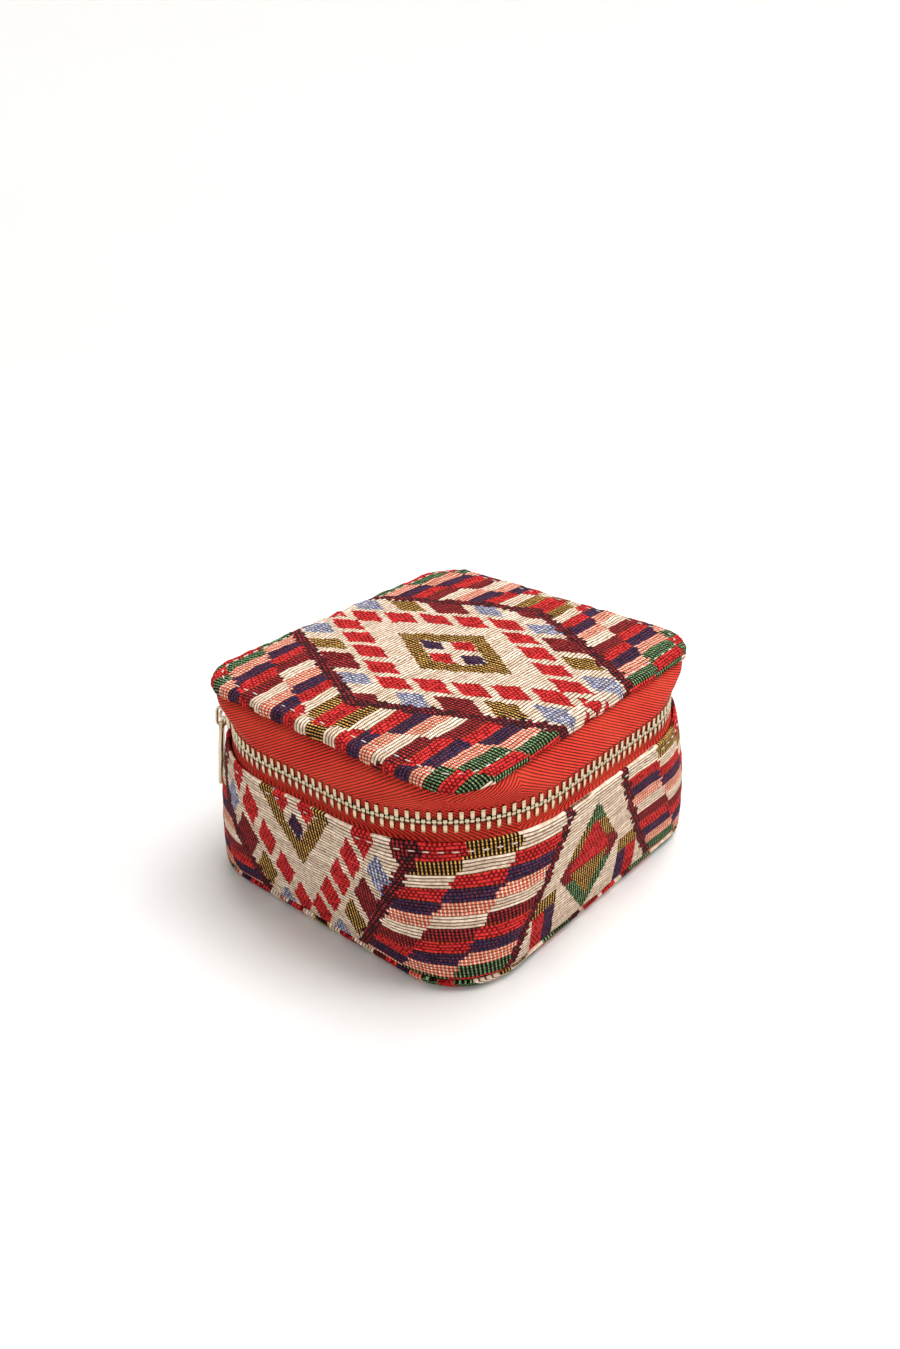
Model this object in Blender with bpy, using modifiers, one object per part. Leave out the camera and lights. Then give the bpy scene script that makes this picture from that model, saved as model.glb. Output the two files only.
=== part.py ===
"""Zip-around jewelry case, 112 x 103 x 58 mm, closed.

Frame: metres, +Z up, origin under the middle of the case on the surface it stands on.
The hinge runs along X at the back (+Y). The zip runs from the back left corner, past the
left side, the front (-Y) and the right side, to the back right corner.
"""

import math

import bmesh
import bpy
from mathutils import Matrix, Vector

# Wall of the base: plan at its rim and at its foot
rim_half_x = 0.0560
rim_half_y = 0.0515
rim_radius = 0.0385
rim_height = 0.0395
wall_flare = 0.0033
foot_radius = 0.0175
wall_corner_power = 0.95
wall_flare_power = 2
seam_height = 0.0034
foot_round = 0.0030

# Layers of the base wall, from outside to inside
gap = 0.0003
cover_thickness = 0.0010
padding_thickness = 0.0006
board_thickness = 0.0012
lining_thickness = 0.0006
floor_board_thickness = 0.0015
tape_tuck = 0.0050
rim_lip = 0.0016

# Zip: path of the chain round the case, and its teeth
zip_rim_inset = 0.0025
zip_tighter_turn = 0.0028
zip_rim_rise = 0.0044
chain_half_width = 0.0027
tooth_pitch = 0.0024
tooth_thickness = 0.0009
tooth_depth = 0.0016
tooth_tip_depth = 0.0012
tooth_overlap = 0.0007
cord_height = 0.0010
tape_thickness = 0.0006
tape_upright = 0.0006
rigid_chain_angle = 0.0
tape_end_angle = 64.0
stop_length = 0.0016
stop_half_height = 0.0019

# Lid: flat padded panel with a turned edge
lid_rim_inset = 0.0060
lid_radius = 0.0124
lid_zip_rise = 0.0097
lid_crown = 0.0014
lid_edge_round = 0.0012
lid_cover_thickness = 0.0008
lid_lip_width = 0.0032
lid_board_thickness = 0.0008
lid_crown_shares = (0.74, 0.36)
lid_foam_shares = (0.74, 0.37)
inner_board_thickness = 0.0008
lid_lining_inset = 0.0040
lid_tape_inset = 0.0007
lid_binding_width = 0.0012
lid_binding_height = 0.0014
lid_binding_clear = 0.0017
mirror_half_x = 0.0310
mirror_half_y = 0.0270
mirror_radius = 0.0060
mirror_thickness = 0.0012

# Hinge strip at the back, and the axis it folds about
hinge_side_clear = 0.00095
hinge_thickness = 0.0010
hinge_bulge = 0.0007
hinge_foot_rise = 0.0008
hinge_axis_rise = 0.0025
hinge_middle_share = 0.5
hinge_columns = 6

# Inside of the base
divider_thickness = 0.0020
divider_height = 0.0250
divider_side_clear = 0.0010
divider_x = 0.0020
roll_count = 4
roll_side_clear = 0.0008
roll_wall_clear = 0.0034
roll_end_round = 0.0030
roll_edge_angle = 60.0

# Slider, its ring and its pull
slider_angle = 50.0
slider_length = 0.0092
slider_plate = 0.0008
slider_running_clear = 0.00025
slider_flange = 0.0005
slider_flange_reach = 0.0004
slider_flange_clear = 0.0002
slider_neck_length = 0.0018
slider_neck_width = 0.0022
slider_end_share = 0.80
bridge_length = 0.0072
bridge_wire = 0.0010
bridge_pivot_rise = 0.0020
link_wire = 0.0009
link_half_width = 0.00125
link_drop = 0.0030
link_lean = 6.5
pull_length = 0.0195
pull_width = 0.0046
pull_top_width = 0.0034
pull_thickness = 0.0010
pull_hole_radius = 0.00085
pull_top_margin = 0.0008

# Facets of round shapes, and edge angles up to which faces shade smooth
roll_sides = 14
roll_end_steps = 2
hole_sides = 12
wire_steps = 2
link_bend_steps = 6
foot_angles = (0, 45, 90)
soft_angle = 35.0
tooth_angle = 20.0

# Sizes and places worked out from the sizes above
zip_half_x = rim_half_x - zip_rim_inset
zip_half_y = rim_half_y - zip_rim_inset
zip_radius = rim_radius - zip_tighter_turn
lid_half_x = rim_half_x - lid_rim_inset
lid_half_y = rim_half_y - lid_rim_inset
zip_height = rim_height + zip_rim_rise
lid_edge_height = zip_height + lid_zip_rise
hinge_axis_height = rim_height + hinge_axis_rise
tape_end_reach = zip_radius * math.cos(math.radians(tape_end_angle))
hinge_half_width = zip_half_x - zip_radius + tape_end_reach - hinge_side_clear
base_stack = cover_thickness + padding_thickness + board_thickness + 3 * gap
lining_inset = base_stack + gap
floor_board_bottom = cover_thickness + gap
floor_board_top = floor_board_bottom + floor_board_thickness
lining_floor = floor_board_top + gap + lining_thickness
tape_foot = rim_height - tape_tuck
lower_tape_top = zip_height - chain_half_width - gap
upper_tape_foot = zip_height + chain_half_width + gap
binding_top = rim_height - gap
binding_bottom = binding_top - rim_lip
lining_rim = binding_bottom - gap
lid_board_bottom = lid_edge_height + lid_cover_thickness + gap
lid_board_top = lid_board_bottom + lid_board_thickness
lid_side_top = lid_board_top + gap + lid_cover_thickness
lid_lining_top = lid_edge_height - gap
lid_lining_bottom = lid_lining_top - lining_thickness
chain_end_inset = slider_length / 2 - slider_neck_length - slider_plate / 2 - gap
chain_end_angle = slider_angle + math.degrees(chain_end_inset / zip_radius)

# Heights of the wall's rings, and directions from the middle through which rings are drawn
wall_level_shares = (0.16, 0.40, 0.66, 0.87)
body_turns = [0, 13, 19, 25, 30, 34, 38, 42, 46, 50, 54, 59, 65, 71]
lid_turns = [0, 12, 24, 31, 34, 37, 40, 43, 46, 49, 52, 62, 76]
turn_margin = 1.0
merge_distance = 0.000001


def clear_scene():
    """Remove every object that the scene holds."""
    for obj in list(bpy.data.objects):
        bpy.data.objects.remove(obj, do_unlink=True)


def new_collection(name):
    """Collection of that name under the scene."""
    collection = bpy.data.collections.new(name)
    bpy.context.scene.collection.children.link(collection)
    return collection


def material(name, look):
    """Principled material for one object, from its colour, roughness and metallic share."""
    colour, roughness, metallic = look
    made = bpy.data.materials.new(name)
    made.use_nodes = True
    shader = made.node_tree.nodes["Principled BSDF"]
    shader.inputs["Base Color"].default_value = (*colour, 1.0)
    shader.inputs["Roughness"].default_value = roughness
    shader.inputs["Metallic"].default_value = metallic
    return made


def add_object(name, mesh, look, collection, smooth_angle=soft_angle):
    """Object of that mesh, shaded smooth up to an edge angle."""
    mesh.shade_smooth()
    mesh.set_sharp_from_angle(angle=math.radians(smooth_angle))
    mesh.materials.append(material(name + "_surface", look))
    obj = bpy.data.objects.new(name, mesh)
    collection.objects.link(obj)
    return obj


def ring_reach(half_x, half_y, radius, turn):
    """Distance from the middle to a rounded rectangle in the direction turn, in degrees."""
    along = Vector((math.cos(math.radians(turn)), math.sin(math.radians(turn))))
    flat = Vector((abs(along.x), abs(along.y)))
    centre = Vector((half_x - radius, half_y - radius))
    if flat.y * half_x <= centre.y * flat.x:
        return half_x / flat.x
    if flat.x * half_y <= centre.x * flat.y:
        return half_y / flat.y
    middle = flat.dot(centre)
    return middle + math.sqrt(middle * middle - centre.length_squared + radius * radius)


def ring(half_x, half_y, radius, height, turns):
    """Points of a rounded rectangle at a height, one in each direction."""
    points = []
    for turn in turns:
        reach = ring_reach(half_x, half_y, radius, turn)
        angle = math.radians(turn)
        points.append(Vector((reach * math.cos(angle), reach * math.sin(angle), height)))
    return points


def whole_turn(quarter):
    """Directions all the way round, from those of one quarter."""
    turns = {90, 270}
    for turn in quarter:
        turns |= {turn, 180 - turn, 180 + turn, (360 - turn) % 360}
    return sorted(turns)


def loft(rings, closed=True, cap_first=False, cap_last=False):
    """Open surface through rings of as many points each."""
    builder = bmesh.new()
    rows = [[builder.verts.new(point) for point in points] for points in rings]
    count = len(rows[0])
    for lower, upper in zip(rows, rows[1:]):
        for index in range(count if closed else count - 1):
            after = (index + 1) % count
            builder.faces.new((lower[index], lower[after], upper[after], upper[index]))
    if cap_first:
        builder.faces.new(reversed(rows[0]))
    if cap_last:
        builder.faces.new(rows[-1])
    mesh = bpy.data.meshes.new("loft")
    builder.to_mesh(mesh)
    builder.free()
    return mesh


def thicken(obj, thickness):
    """Give a surface its thickness, inward from its face."""
    solid = obj.modifiers.new("thickness", "SOLIDIFY")
    solid.thickness = thickness
    solid.offset = -1.0
    solid.use_even_offset = True
    return obj


def wall_plan(height, inset):
    """Half sizes and corner radius of the base wall at a height, drawn in by inset."""
    drop = max(0.0, 1.0 - height / rim_height)
    flare = wall_flare * drop ** wall_flare_power
    radius = rim_radius - (rim_radius - foot_radius) * drop ** wall_corner_power
    return (rim_half_x - flare - inset, rim_half_y - flare - inset, radius - inset)


def wall_ring(height, inset, turns):
    """Ring of the base wall at a height, drawn in by inset."""
    return ring(*wall_plan(height, inset), height, turns)


def wall_rings(bottom, top, inset, turns):
    """Rings of the base wall from one height to another, at levels that all its layers share."""
    levels = [share * rim_height for share in wall_level_shares]
    heights = [bottom] + [level for level in levels if bottom + inset < level < top] + [top]
    return [wall_ring(height, inset, turns) for height in heights]


def wall_shell(name, bottom, top, inset, thickness, look, collection):
    """Upright layer of the base wall between two heights."""
    rings = wall_rings(bottom, top, inset, whole_turn(body_turns))
    return thicken(add_object(name, loft(rings), look, collection), thickness)


def base_wall_cover(look, collection):
    """Woven outer wall, from the seam above the foot to the rim."""
    return wall_shell("base_wall_cover", seam_height, rim_height, 0, cover_thickness, look, collection)


def base_wall_padding(look, collection):
    """Thin foam between the woven wall and its board, up to the tucked zip tape."""
    inset = cover_thickness + gap
    bottom = floor_board_top + gap
    top = tape_foot - gap
    return wall_shell("base_wall_padding", bottom, top, inset, padding_thickness, look, collection)


def base_wall_board(look, collection):
    """Stiff board that stands on the floor board."""
    inset = base_stack - board_thickness
    bottom = floor_board_top + gap
    return wall_shell("base_wall_board", bottom, lining_rim, inset, board_thickness, look, collection)


def base_bottom_cover(look, collection):
    """Woven bottom panel, turned up round the foot to the seam."""
    turns = whole_turn(body_turns)
    rings = []
    for angle in foot_angles:
        inset = foot_round * (1 - math.sin(math.radians(angle)))
        height = foot_round * (1 - math.cos(math.radians(angle)))
        plan = wall_plan(foot_round, inset)
        rings.append(ring(*plan, height, turns))
    rings.append(wall_ring(seam_height - gap, 0, turns))
    mesh = loft(rings, cap_first=True)
    return thicken(add_object("base_bottom_cover", mesh, look, collection), cover_thickness)


def flat_panel(name, plan, bottom, thickness, turns, look, collection):
    """Flat panel of a rounded rectangle."""
    rings = [ring(*plan, bottom, turns), ring(*plan, bottom + thickness, turns)]
    return add_object(name, loft(rings, cap_first=True, cap_last=True), look, collection)


def base_floor_board(look, collection):
    """Board that lies in the bottom panel and carries the wall board."""
    plan = wall_plan(foot_round, foot_round - gap)
    turns = whole_turn(body_turns)
    name = "base_floor_board"
    return flat_panel(name, plan, floor_board_bottom, floor_board_thickness, turns, look, collection)


def base_lining(look, collection):
    """Velvet tray inside the wall, with a rounded foot."""
    turns = whole_turn(body_turns)
    foot = floor_board_top + gap
    round_top = foot + foot_round
    inner = wall_plan(round_top, lining_inset + foot_round)
    rings = [ring(*inner, foot, turns)] + wall_rings(round_top, lining_rim, lining_inset, turns)
    mesh = loft(rings, cap_first=True)
    return thicken(add_object("base_lining", mesh, look, collection), lining_thickness)


def rim_strip(name, plan, bottom, top, width, turns, look, collection):
    """Upright binding of a rounded rectangle."""
    rings = [ring(*plan, bottom, turns), ring(*plan, top, turns)]
    return thicken(add_object(name, loft(rings), look, collection), width)


def base_binding(look, collection):
    """Binding that covers the top edges of board and lining, inside the zip tape."""
    inset = cover_thickness + tape_thickness + 2 * gap
    width = lining_inset + lining_thickness - inset
    turns = whole_turn(body_turns)
    plan = wall_plan(rim_height, inset)
    return rim_strip("base_binding", plan, binding_bottom, binding_top, width, turns, look, collection)


def zip_turn(angle):
    """Direction, as seen from the middle, of the point at angle round the back left corner."""
    x = zip_half_x - zip_radius + zip_radius * math.cos(math.radians(angle))
    y = zip_half_y - zip_radius + zip_radius * math.sin(math.radians(angle))
    return 180 - math.degrees(math.atan2(y, x))


def turns_between(start, stop, quarter):
    """Directions of a whole turn that lie between two, with both ends."""
    one = whole_turn(quarter)
    two = one + [360 + turn for turn in one]
    return [start] + [turn for turn in two if start + turn_margin < turn < stop - turn_margin] + [stop]


def zip_plan(inset):
    """Plan of the zip chain's path, drawn in by inset."""
    return (zip_half_x - inset, zip_half_y - inset, zip_radius - inset)


def lower_zip_tape(look, collection):
    """Woven tape that rises from inside the rim to the lower teeth."""
    turns = turns_between(zip_turn(tape_end_angle), 540 - zip_turn(tape_end_angle), body_turns)
    outer = -tape_thickness / 2
    rings = [
        wall_ring(tape_foot, cover_thickness + gap, turns),
        wall_ring(rim_height, cover_thickness + gap, turns),
        ring(*zip_plan(outer), lower_tape_top, turns),
    ]
    obj = add_object("lower_zip_tape", loft(rings, closed=False), look, collection)
    return thicken(obj, tape_thickness)


def upper_tape_piece(name, start, stop, look, collection):
    """Stretch of the wide upper tape, from the upper teeth out to the lid's edge."""
    turns = turns_between(start, stop, body_turns)
    outer = -tape_thickness / 2
    inset = lid_tape_inset
    lid_plan = (lid_half_x - inset, lid_half_y - inset, lid_radius - inset)
    middle_height = (upper_tape_foot + lid_edge_height) / 2
    foot = ring(*zip_plan(outer), upper_tape_foot, turns)
    bend = ring(*zip_plan(outer), upper_tape_foot + tape_upright, turns)
    top = ring(*lid_plan, lid_edge_height - gap, turns)
    middle = []
    for lower, upper in zip(bend, top):
        point = (lower + upper) / 2
        point.z = middle_height
        middle.append(point)
    obj = add_object(name, loft([foot, bend, middle, top], closed=False), look, collection)
    return thicken(obj, tape_thickness)


def upper_zip_tape(look, collection):
    """The tape in three stretches: the one the lid carries and one that folds at each end."""
    end_turn = zip_turn(tape_end_angle)
    rigid_turn = zip_turn(rigid_chain_angle)
    split = math.degrees(gap / zip_half_x)
    upper_tape_piece("upper_zip_tape", rigid_turn, 540 - rigid_turn, look, collection)
    upper_tape_piece("upper_tape_left_end", end_turn, rigid_turn - split, look, collection)
    upper_tape_piece("upper_tape_right_end", 540 - rigid_turn + split, 540 - end_turn, look, collection)


def zip_end_patch(name, start_angle, mirrored, look, collection):
    """Folded tape that closes the space between the two tapes past the end of the teeth."""
    start = zip_turn(tape_end_angle)
    stop = zip_turn(start_angle)
    turns = [start, (start + stop) / 2, stop]
    if mirrored:
        turns = [540 - turn for turn in reversed(turns)]
    outer = -tape_thickness / 2
    bottom = lower_tape_top + gap
    top = upper_tape_foot - gap
    rings = [ring(*zip_plan(outer), bottom, turns), ring(*zip_plan(outer), top, turns)]
    obj = add_object(name, loft(rings, closed=False), look, collection)
    return thicken(obj, tape_thickness)


def zip_end_patches(look, collection):
    """Folded ends of the tape, past the slider at the left and past the bottom stop at the right."""
    slider_end = (slider_length / 2 + gap) / zip_radius
    stop_end = (stop_length + 2 * gap) / zip_radius
    left_start = slider_angle + math.degrees(slider_end)
    right_start = chain_end_angle + math.degrees(stop_end)
    zip_end_patch("zip_end_patch_left", left_start, False, look, collection)
    zip_end_patch("zip_end_patch_right", right_start, True, look, collection)


def zip_point(distance):
    """Place and outward direction on the zip path, counted from the end of the back left corner."""
    corner_x = zip_half_x - zip_radius
    corner_y = zip_half_y - zip_radius
    quarter = zip_radius * math.pi / 2
    stretches = [
        ("arc", 0, Vector((-corner_x, corner_y)), 180),
        ("side", 2 * corner_y, Vector((-zip_half_x, corner_y)), 180),
        ("arc", quarter, Vector((-corner_x, -corner_y)), 180),
        ("side", 2 * corner_x, Vector((-corner_x, -zip_half_y)), 270),
        ("arc", quarter, Vector((corner_x, -corner_y)), 270),
        ("side", 2 * corner_y, Vector((zip_half_x, -corner_y)), 360),
        ("arc", quarter, Vector((corner_x, corner_y)), 360),
    ]
    for kind, length, place, facing in stretches:
        if distance <= length:
            break
        distance -= length
    turned = math.radians(facing) + (distance / zip_radius if kind == "arc" else 0)
    outward = Vector((math.cos(turned), math.sin(turned)))
    if kind == "arc":
        return place + outward * zip_radius, outward
    along = Vector((-outward.y, outward.x))
    return place + along * distance, outward


def chain_length():
    """Length of the zip path between the two back corners' straight ends."""
    corner_x = zip_half_x - zip_radius
    corner_y = zip_half_y - zip_radius
    return 4 * corner_y + 2 * corner_x + zip_radius * math.pi


def tooth_row(name, start, stop, shift, side, look, collection):
    """Teeth on their cord between two distances along the zip, pointing up or down.

    side is 1 for the lower row, whose teeth point up, and -1 for the upper row.
    """
    cuts = []
    first = math.ceil((start - shift) / tooth_pitch)
    last = math.floor((stop - shift) / tooth_pitch)
    for index in range(first, last + 1):
        middle = index * tooth_pitch + shift
        if middle - tooth_thickness < start or middle + tooth_thickness > stop:
            continue
        cuts.append((middle - tooth_thickness / 2, middle + tooth_thickness / 2))
    builder = bmesh.new()
    foot = zip_height - side * chain_half_width
    top = foot + side * cord_height
    tip = zip_height + side * tooth_overlap
    stations = [start]
    for left, right in cuts:
        stations += [left, right]
    stations.append(stop)
    rows = []
    for station in stations:
        place, outward = zip_point(station)
        corners = ((-1, foot), (1, foot), (1, top), (-1, top))
        row = []
        for sideways, height in corners:
            flat = place + outward * sideways * tooth_depth / 2
            row.append(builder.verts.new((flat.x, flat.y, height)))
        rows.append(row)
    tops = []
    for number, (before, after) in enumerate(zip(rows, rows[1:])):
        for index in range(4):
            other = (index + 1) % 4
            face = builder.faces.new((before[index], before[other], after[other], after[index]))
            if index == 2 and number % 2 == 1:
                tops.append(face)
    builder.faces.new(reversed(rows[0]))
    builder.faces.new(rows[-1])
    for face in tops:
        raised = bmesh.ops.extrude_discrete_faces(builder, faces=[face])["faces"][0]
        middle = raised.calc_center_median()
        for vert in raised.verts:
            inward = (vert.co - middle) * (tooth_tip_depth / tooth_depth)
            vert.co = middle + inward
            vert.co.z = tip
    bmesh.ops.recalc_face_normals(builder, faces=builder.faces)
    mesh = bpy.data.meshes.new(name)
    builder.to_mesh(mesh)
    builder.free()
    return add_object(name, mesh, look, collection, smooth_angle=tooth_angle)


def tooth_rows(look, collection):
    """Both rows of teeth, each split where the slider parts it or the lid folds it."""
    left_end = -math.radians(chain_end_angle) * zip_radius
    rigid_left = -math.radians(rigid_chain_angle) * zip_radius
    rigid_right = chain_length() - rigid_left
    right_end = chain_length() - left_end
    half = tooth_pitch / 2
    tooth_row("lower_teeth", rigid_left, right_end, half, 1, look, collection)
    tooth_row("lower_teeth_left_end", left_end, rigid_left - gap, half, 1, look, collection)
    tooth_row("upper_teeth", rigid_left, rigid_right, 0, -1, look, collection)
    tooth_row("upper_teeth_left_end", left_end, rigid_left - gap, 0, -1, look, collection)
    tooth_row("upper_teeth_right_end", rigid_right + gap, right_end, 0, -1, look, collection)


def zip_bottom_stop(look, collection):
    """Metal box that holds both rows together where the zip ends at the back right corner."""
    outer = tooth_depth / 2
    place = Matrix.Diagonal((-1, 1, 1, 1)) @ zip_frame(chain_end_angle)
    low = (gap, -outer, -stop_half_height)
    high = (gap + stop_length, outer, stop_half_height)
    mesh = box_mesh("zip_bottom_stop", low, high)
    mesh.transform(place)
    mesh.flip_normals()
    add_object("zip_bottom_stop", mesh, look, collection)


def zip_frame(angle):
    """Matrix at angle round the back left corner: X along the chain, Y outward, Z up."""
    turned = math.radians(180 - angle)
    outward = Vector((math.cos(turned), math.sin(turned), 0))
    corner = Vector((zip_radius - zip_half_x, zip_half_y - zip_radius, zip_height))
    up = Vector((0, 0, 1))
    along = outward.cross(up)
    place = corner + outward * zip_radius
    turn = Matrix((along, outward, up)).transposed().to_4x4()
    return Matrix.Translation(place) @ turn


def box_mesh(name, low, high):
    """Box between two corners."""
    builder = bmesh.new()
    size = Vector(high) - Vector(low)
    middle = (Vector(high) + Vector(low)) / 2
    scale = Matrix.Translation(middle) @ Matrix.Diagonal((*size, 1.0))
    bmesh.ops.create_cube(builder, size=1.0, matrix=scale)
    mesh = bpy.data.meshes.new(name)
    builder.to_mesh(mesh)
    builder.free()
    return mesh


def outline_solid(name, points, thickness, hole_radius=0):
    """Flat outline in XY, thickened along Z about zero, with an optional round hole at the middle."""
    curve = bpy.data.curves.new(name, "CURVE")
    curve.dimensions = "2D"
    curve.fill_mode = "BOTH"
    curve.extrude = thickness / 2
    loops = [points]
    if hole_radius:
        angles = [2 * math.pi * step / hole_sides for step in range(hole_sides)]
        loops.append([(hole_radius * math.cos(angle), hole_radius * math.sin(angle)) for angle in angles])
    for loop in loops:
        spline = curve.splines.new("POLY")
        spline.points.add(len(loop) - 1)
        for point, (x, y) in zip(spline.points, loop):
            point.co = (x, y, 0, 1)
        spline.use_cyclic_u = True
    return curve_to_mesh(curve, name)


def curve_to_mesh(curve, name):
    """Welded mesh of a curve, which is removed."""
    holder = bpy.data.objects.new(name, curve)
    bpy.context.scene.collection.objects.link(holder)
    graph = bpy.context.evaluated_depsgraph_get()
    mesh = bpy.data.meshes.new_from_object(holder.evaluated_get(graph))
    builder = bmesh.new()
    builder.from_mesh(mesh)
    bmesh.ops.remove_doubles(builder, verts=builder.verts, dist=merge_distance)
    bmesh.ops.recalc_face_normals(builder, faces=builder.faces)
    builder.to_mesh(mesh)
    builder.free()
    bpy.data.objects.remove(holder, do_unlink=True)
    mesh.name = name
    return mesh


def wire_mesh(name, points, radius, cyclic):
    """Round wire through points."""
    curve = bpy.data.curves.new(name, "CURVE")
    curve.dimensions = "3D"
    curve.bevel_depth = radius
    curve.bevel_resolution = wire_steps
    curve.use_fill_caps = not cyclic
    spline = curve.splines.new("POLY")
    spline.points.add(len(points) - 1)
    for point, place in zip(spline.points, points):
        point.co = (*place, 1)
    spline.use_cyclic_u = cyclic
    return curve_to_mesh(curve, name)


def join_into(obj, other_mesh, cutters, operation="UNION"):
    """Join a mesh to an object, or cut it out, by a Boolean."""
    other = bpy.data.objects.new(obj.name + "_tool", other_mesh)
    cutters.objects.link(other)
    other.parent = obj.parent
    other.matrix_basis = obj.matrix_basis.copy()
    other.hide_render = True
    other.display_type = "WIRE"
    boolean = obj.modifiers.new(operation.lower(), "BOOLEAN")
    boolean.operation = operation
    boolean.solver = "EXACT"
    boolean.object = other
    return other


def axis_empty(name, place, collection):
    """Empty on a joint's axis, which carries the pieces that move about it."""
    empty = bpy.data.objects.new(name, None)
    empty.location = place
    collection.objects.link(empty)
    return empty


def slider_outline():
    """Shield outline of a slider plate: two mouths at its front, narrower at its rear."""
    half = chain_half_width + slider_flange_clear + slider_flange
    front = slider_length / 2
    front_half = half + slider_flange
    shoulder = front * slider_end_share
    return [
        (-front, -half * slider_end_share),
        (-shoulder, -half),
        (0, -half),
        (shoulder, -front_half),
        (front, -front_half * slider_end_share),
        (front, front_half * slider_end_share),
        (shoulder, front_half),
        (0, half),
        (-shoulder, half),
        (-front, half * slider_end_share),
    ]


def slider_levels():
    """Outward places of the slider's two plates, counted from the middle of the chain."""
    arc_drop = zip_radius - math.sqrt(zip_radius ** 2 - (slider_length / 2) ** 2)
    outer_inside = tooth_depth / 2 + slider_running_clear
    inner_inside = -tooth_depth / 2 - slider_running_clear - arc_drop
    return outer_inside, inner_inside, arc_drop


def slider_body(look, collection, cutters, holder):
    """Two plates joined by the neck, with flanges that lap the teeth and a bridge outside."""
    outer_inside, inner_inside, arc_drop = slider_levels()
    upright = Matrix.Rotation(math.pi / 2, 4, "X")
    outer_mesh = outline_solid("slider_outer", slider_outline(), slider_plate)
    outer_mesh.transform(Matrix.Translation((0, outer_inside + slider_plate / 2, 0)) @ upright)
    slider = add_object("slider", outer_mesh, look, collection)
    slider.parent = holder
    inner_mesh = outline_solid("slider_inner", slider_outline(), slider_plate)
    inner_mesh.transform(Matrix.Translation((0, inner_inside - slider_plate / 2, 0)) @ upright)
    join_into(slider, inner_mesh, cutters)
    bite = slider_plate / 2
    front = slider_length / 2
    neck_low = (front - slider_neck_length - bite, inner_inside - bite, -slider_neck_width / 2)
    neck_high = (front - bite, outer_inside + bite, slider_neck_width / 2)
    join_into(slider, box_mesh("slider_neck", neck_low, neck_high), cutters)
    flange_foot = chain_half_width + slider_flange_clear
    reach = front * slider_end_share
    outer_stop = outer_inside - slider_flange_reach
    inner_stop = inner_inside + slider_flange_reach
    for side in (-1, 1):
        edges = sorted((side * flange_foot, side * (flange_foot + slider_flange)))
        for plate, stop in ((outer_inside + bite, outer_stop), (inner_inside - bite, inner_stop)):
            low = (-reach, min(plate, stop), edges[0])
            high = (reach, max(plate, stop), edges[1])
            join_into(slider, box_mesh("slider_flange", low, high), cutters)
    join_into(slider, bridge_mesh(outer_inside + slider_plate), cutters)
    return slider


def bridge_mesh(surface):
    """Arched wire that stands on the outer plate and holds the ring."""
    half = bridge_length / 2
    top = surface + bridge_pivot_rise
    shoulder = half - bridge_wire
    sunk = surface - slider_plate / 2
    points = [
        (-half, sunk, 0),
        (-half, surface + bridge_pivot_rise / 2, 0),
        (-shoulder, top, 0),
        (shoulder, top, 0),
        (half, surface + bridge_pivot_rise / 2, 0),
        (half, sunk, 0),
    ]
    return wire_mesh("slider_bridge", points, bridge_wire / 2, False)


def pull_link_points():
    """Middle line of the link: round its pivot at the top, round the pull at the bottom."""
    points = []
    for centre, start in ((0, 0), (-link_drop, 180)):
        for step in range(link_bend_steps + 1):
            angle = math.radians(start + 180 * step / link_bend_steps)
            sideways = link_half_width * math.cos(angle)
            points.append((0, sideways, centre + link_half_width * math.sin(angle)))
    return points


def pull_link(look, collection, pivot):
    """Long link that hangs on the bridge."""
    mesh = wire_mesh("pull_link", pull_link_points(), link_wire / 2, True)
    link = add_object("pull_link", mesh, look, collection)
    link.parent = pivot
    return link


def pull_tab(look, collection, pivot):
    """Long narrow pull that hangs on the link."""
    hang = -link_drop - link_half_width
    top = pull_hole_radius + pull_top_margin
    bottom = top - pull_length
    shoulder = top - pull_top_width / 2
    half = pull_width / 2
    top_half = pull_top_width / 2
    corner = half / 2
    outline = [
        (-half + corner, bottom),
        (half - corner, bottom),
        (half, bottom + corner),
        (half, shoulder - half * 2),
        (top_half, shoulder - half),
        (top_half, shoulder),
        (top_half / 2, top),
        (-top_half / 2, top),
        (-top_half, shoulder),
        (-top_half, shoulder - half),
        (-half, shoulder - half * 2),
        (-half, bottom + corner),
    ]
    mesh = outline_solid("pull_tab", outline, pull_thickness, hole_radius=pull_hole_radius)
    mesh.transform(Matrix.Rotation(math.pi / 2, 4, "X"))
    tab = add_object("pull_tab", mesh, look, collection)
    tab.parent = pivot
    tab.location = (0, 0, hang)
    return tab


def slider_group(look, collection, cutters):
    """Slider, link and pull at their place on the back left corner."""
    outer_inside, _, _ = slider_levels()
    corner = (zip_radius - zip_half_x, zip_half_y - zip_radius, zip_height)
    travel = axis_empty("slider_travel_axis", corner, collection)
    holder = bpy.data.objects.new("slider_place", None)
    collection.objects.link(holder)
    holder.parent = travel
    holder.matrix_parent_inverse = Matrix.Translation(corner).inverted()
    holder.matrix_basis = zip_frame(slider_angle)
    slider_body(look, collection, cutters, holder)
    pivot = bpy.data.objects.new("link_pivot", None)
    collection.objects.link(pivot)
    pivot.parent = holder
    pivot.location = (0, outer_inside + slider_plate + bridge_pivot_rise, 0)
    pivot.rotation_euler = (math.radians(link_lean), 0, 0)
    pull_link(look, collection, pivot)
    pull_tab(look, collection, pivot)


def lid_plan(inset):
    """Plan of the lid, drawn in by inset."""
    return (lid_half_x - inset, lid_half_y - inset, lid_radius - inset)


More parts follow.
